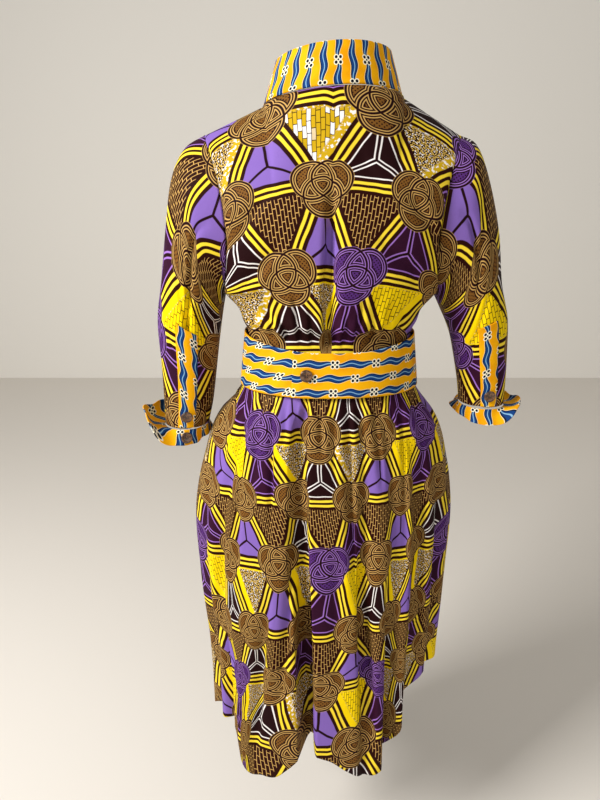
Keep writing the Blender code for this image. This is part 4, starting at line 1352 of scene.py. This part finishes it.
def make_button(node):
    """A button turned round its own axis, standing where the plain solid of it stands.

    Its axis is the direction in which the solid's corners spread least. Rings of the
    profile are joined by quads, and its two small end rings are capped.
    """
    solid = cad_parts[node].data
    corners = np.zeros(len(solid.vertices) * 3, np.float32)
    solid.vertices.foreach_get("co", corners)
    corners = np.unique(corners.reshape(-1, 3).astype(float).round(7), axis=0)
    middle = corners.mean(axis=0)
    facing = np.linalg.eigh(np.cov((corners - middle).T))[1][:, 0]
    facing = facing * np.sign(facing[1] * middle[1])
    back_face = middle + facing * ((corners - middle) @ facing).min()
    angle, ring = grid(np.linspace(0, 2 * np.pi, BUTTON_SIDES, endpoint=False),
                       np.arange(len(BUTTON_PROFILE["radius"])))
    ring = ring.astype(int)
    radius = BUTTON_R * np.array(BUTTON_PROFILE["radius"])[ring]
    level = BUTTON_DEPTH * np.array(BUTTON_PROFILE["level"])[ring]
    side = np.cross(facing, [0.0, 0.0, 1.0])
    side = side / np.linalg.norm(side)
    rise = np.cross(side, facing)
    flat = np.stack([radius * np.cos(angle), radius * np.sin(angle)], axis=-1)
    points = (back_face + flat[..., :1] * side + flat[..., 1:] * rise
              + level[..., None] * facing)
    numbers = np.arange(angle.size).reshape(angle.shape)
    faces = quads(np.concatenate([numbers, numbers[:, :1]], axis=1)).tolist()
    faces += [numbers[0, ::-1].tolist(), numbers[-1].tolist()]
    mesh = bpy.data.meshes.new(node + "_shell")
    mesh.from_pydata(points.reshape(-1, 3).tolist(), [], faces)
    loops = np.zeros(len(mesh.loops), np.int32)
    mesh.loops.foreach_get("vertex_index", loops)
    piece = finished(node + "_shell", mesh, flat.reshape(-1, 2)[loops], SHELL)
    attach(piece, "root")
    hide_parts(node)


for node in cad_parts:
    if "button" in node:
        make_button(node)

# ---------------------------------------------------------------------------
# THE ROOM
# A pale floor under the dress and a pale wall well away from it, lit softly from a
# window on the left. The camera looks down a little at the dress's back.
# ---------------------------------------------------------------------------
FLOOR_Z = -1.38
WALL_Y = 3.4
WALL_TOP = 4.0
ROOM_HALF = 6.0
DRESS_MIDDLE = (0.0, 0.0, -0.5)   # the lamps face this point


def plain(name, colour, roughness):
    """A plain material of one colour."""
    made = bpy.data.materials.new(name)
    made.use_nodes = True
    shader = made.node_tree.nodes["Principled BSDF"]
    shader.inputs["Base Color"].default_value = colour
    shader.inputs["Roughness"].default_value = roughness
    return made


def flat_panel(name, corners, look):
    """A flat four cornered panel of the room."""
    mesh = bpy.data.meshes.new(name)
    mesh.from_pydata(corners, [], [(0, 1, 2, 3)])
    mesh.materials.append(look)
    panel = bpy.data.objects.new(name, mesh)
    bpy.context.scene.collection.objects.link(panel)


flat_panel("floor", [(-ROOM_HALF, -ROOM_HALF, FLOOR_Z), (ROOM_HALF, -ROOM_HALF, FLOOR_Z),
                     (ROOM_HALF, WALL_Y, FLOOR_Z), (-ROOM_HALF, WALL_Y, FLOOR_Z)],
           plain("floor", srgb(228, 222, 213), roughness=0.8))
flat_panel("wall", [(-ROOM_HALF, WALL_Y, FLOOR_Z), (ROOM_HALF, WALL_Y, FLOOR_Z),
                    (ROOM_HALF, WALL_Y, WALL_TOP), (-ROOM_HALF, WALL_Y, WALL_TOP)],
           plain("wall", srgb(248, 244, 236), roughness=0.9))


def soft_light(name, place, size, power, colour):
    """A large square lamp that faces the dress."""
    lamp = bpy.data.lights.new(name, "AREA")
    lamp.shape = "SQUARE"
    lamp.size = size
    lamp.energy = power
    lamp.color = colour
    held = bpy.data.objects.new(name, lamp)
    held.location = place
    aim = Vector(DRESS_MIDDLE) - Vector(place)
    held.rotation_euler = aim.to_track_quat("-Z", "Y").to_euler()
    bpy.context.scene.collection.objects.link(held)


soft_light("window", (-2.0, -1.2, 0.9), size=0.9, power=98, colour=(1.0, 0.99, 0.98))
soft_light("room", (1.2, -2.6, 0.6), size=2.0, power=12, colour=(1.0, 0.98, 0.95))
sky = bpy.data.worlds.new("room_light")
sky.use_nodes = True
sky.node_tree.nodes["Background"].inputs["Color"].default_value = (1.0, 0.98, 0.95, 1.0)
sky.node_tree.nodes["Background"].inputs["Strength"].default_value = 0.38
bpy.context.scene.world = sky
bpy.context.scene.view_settings.view_transform = "Standard"

LOOK_DOWN = 17.8           # degrees below level
eye = bpy.data.cameras.new("eye")
eye.lens = 27
eye.sensor_width = 36
camera = bpy.data.objects.new("eye", eye)
camera.location = (-0.048, -0.98, -0.15)
camera.rotation_euler = (math.radians(90 - LOOK_DOWN), 0.0, 0.0)
bpy.context.scene.collection.objects.link(camera)
bpy.context.scene.camera = camera
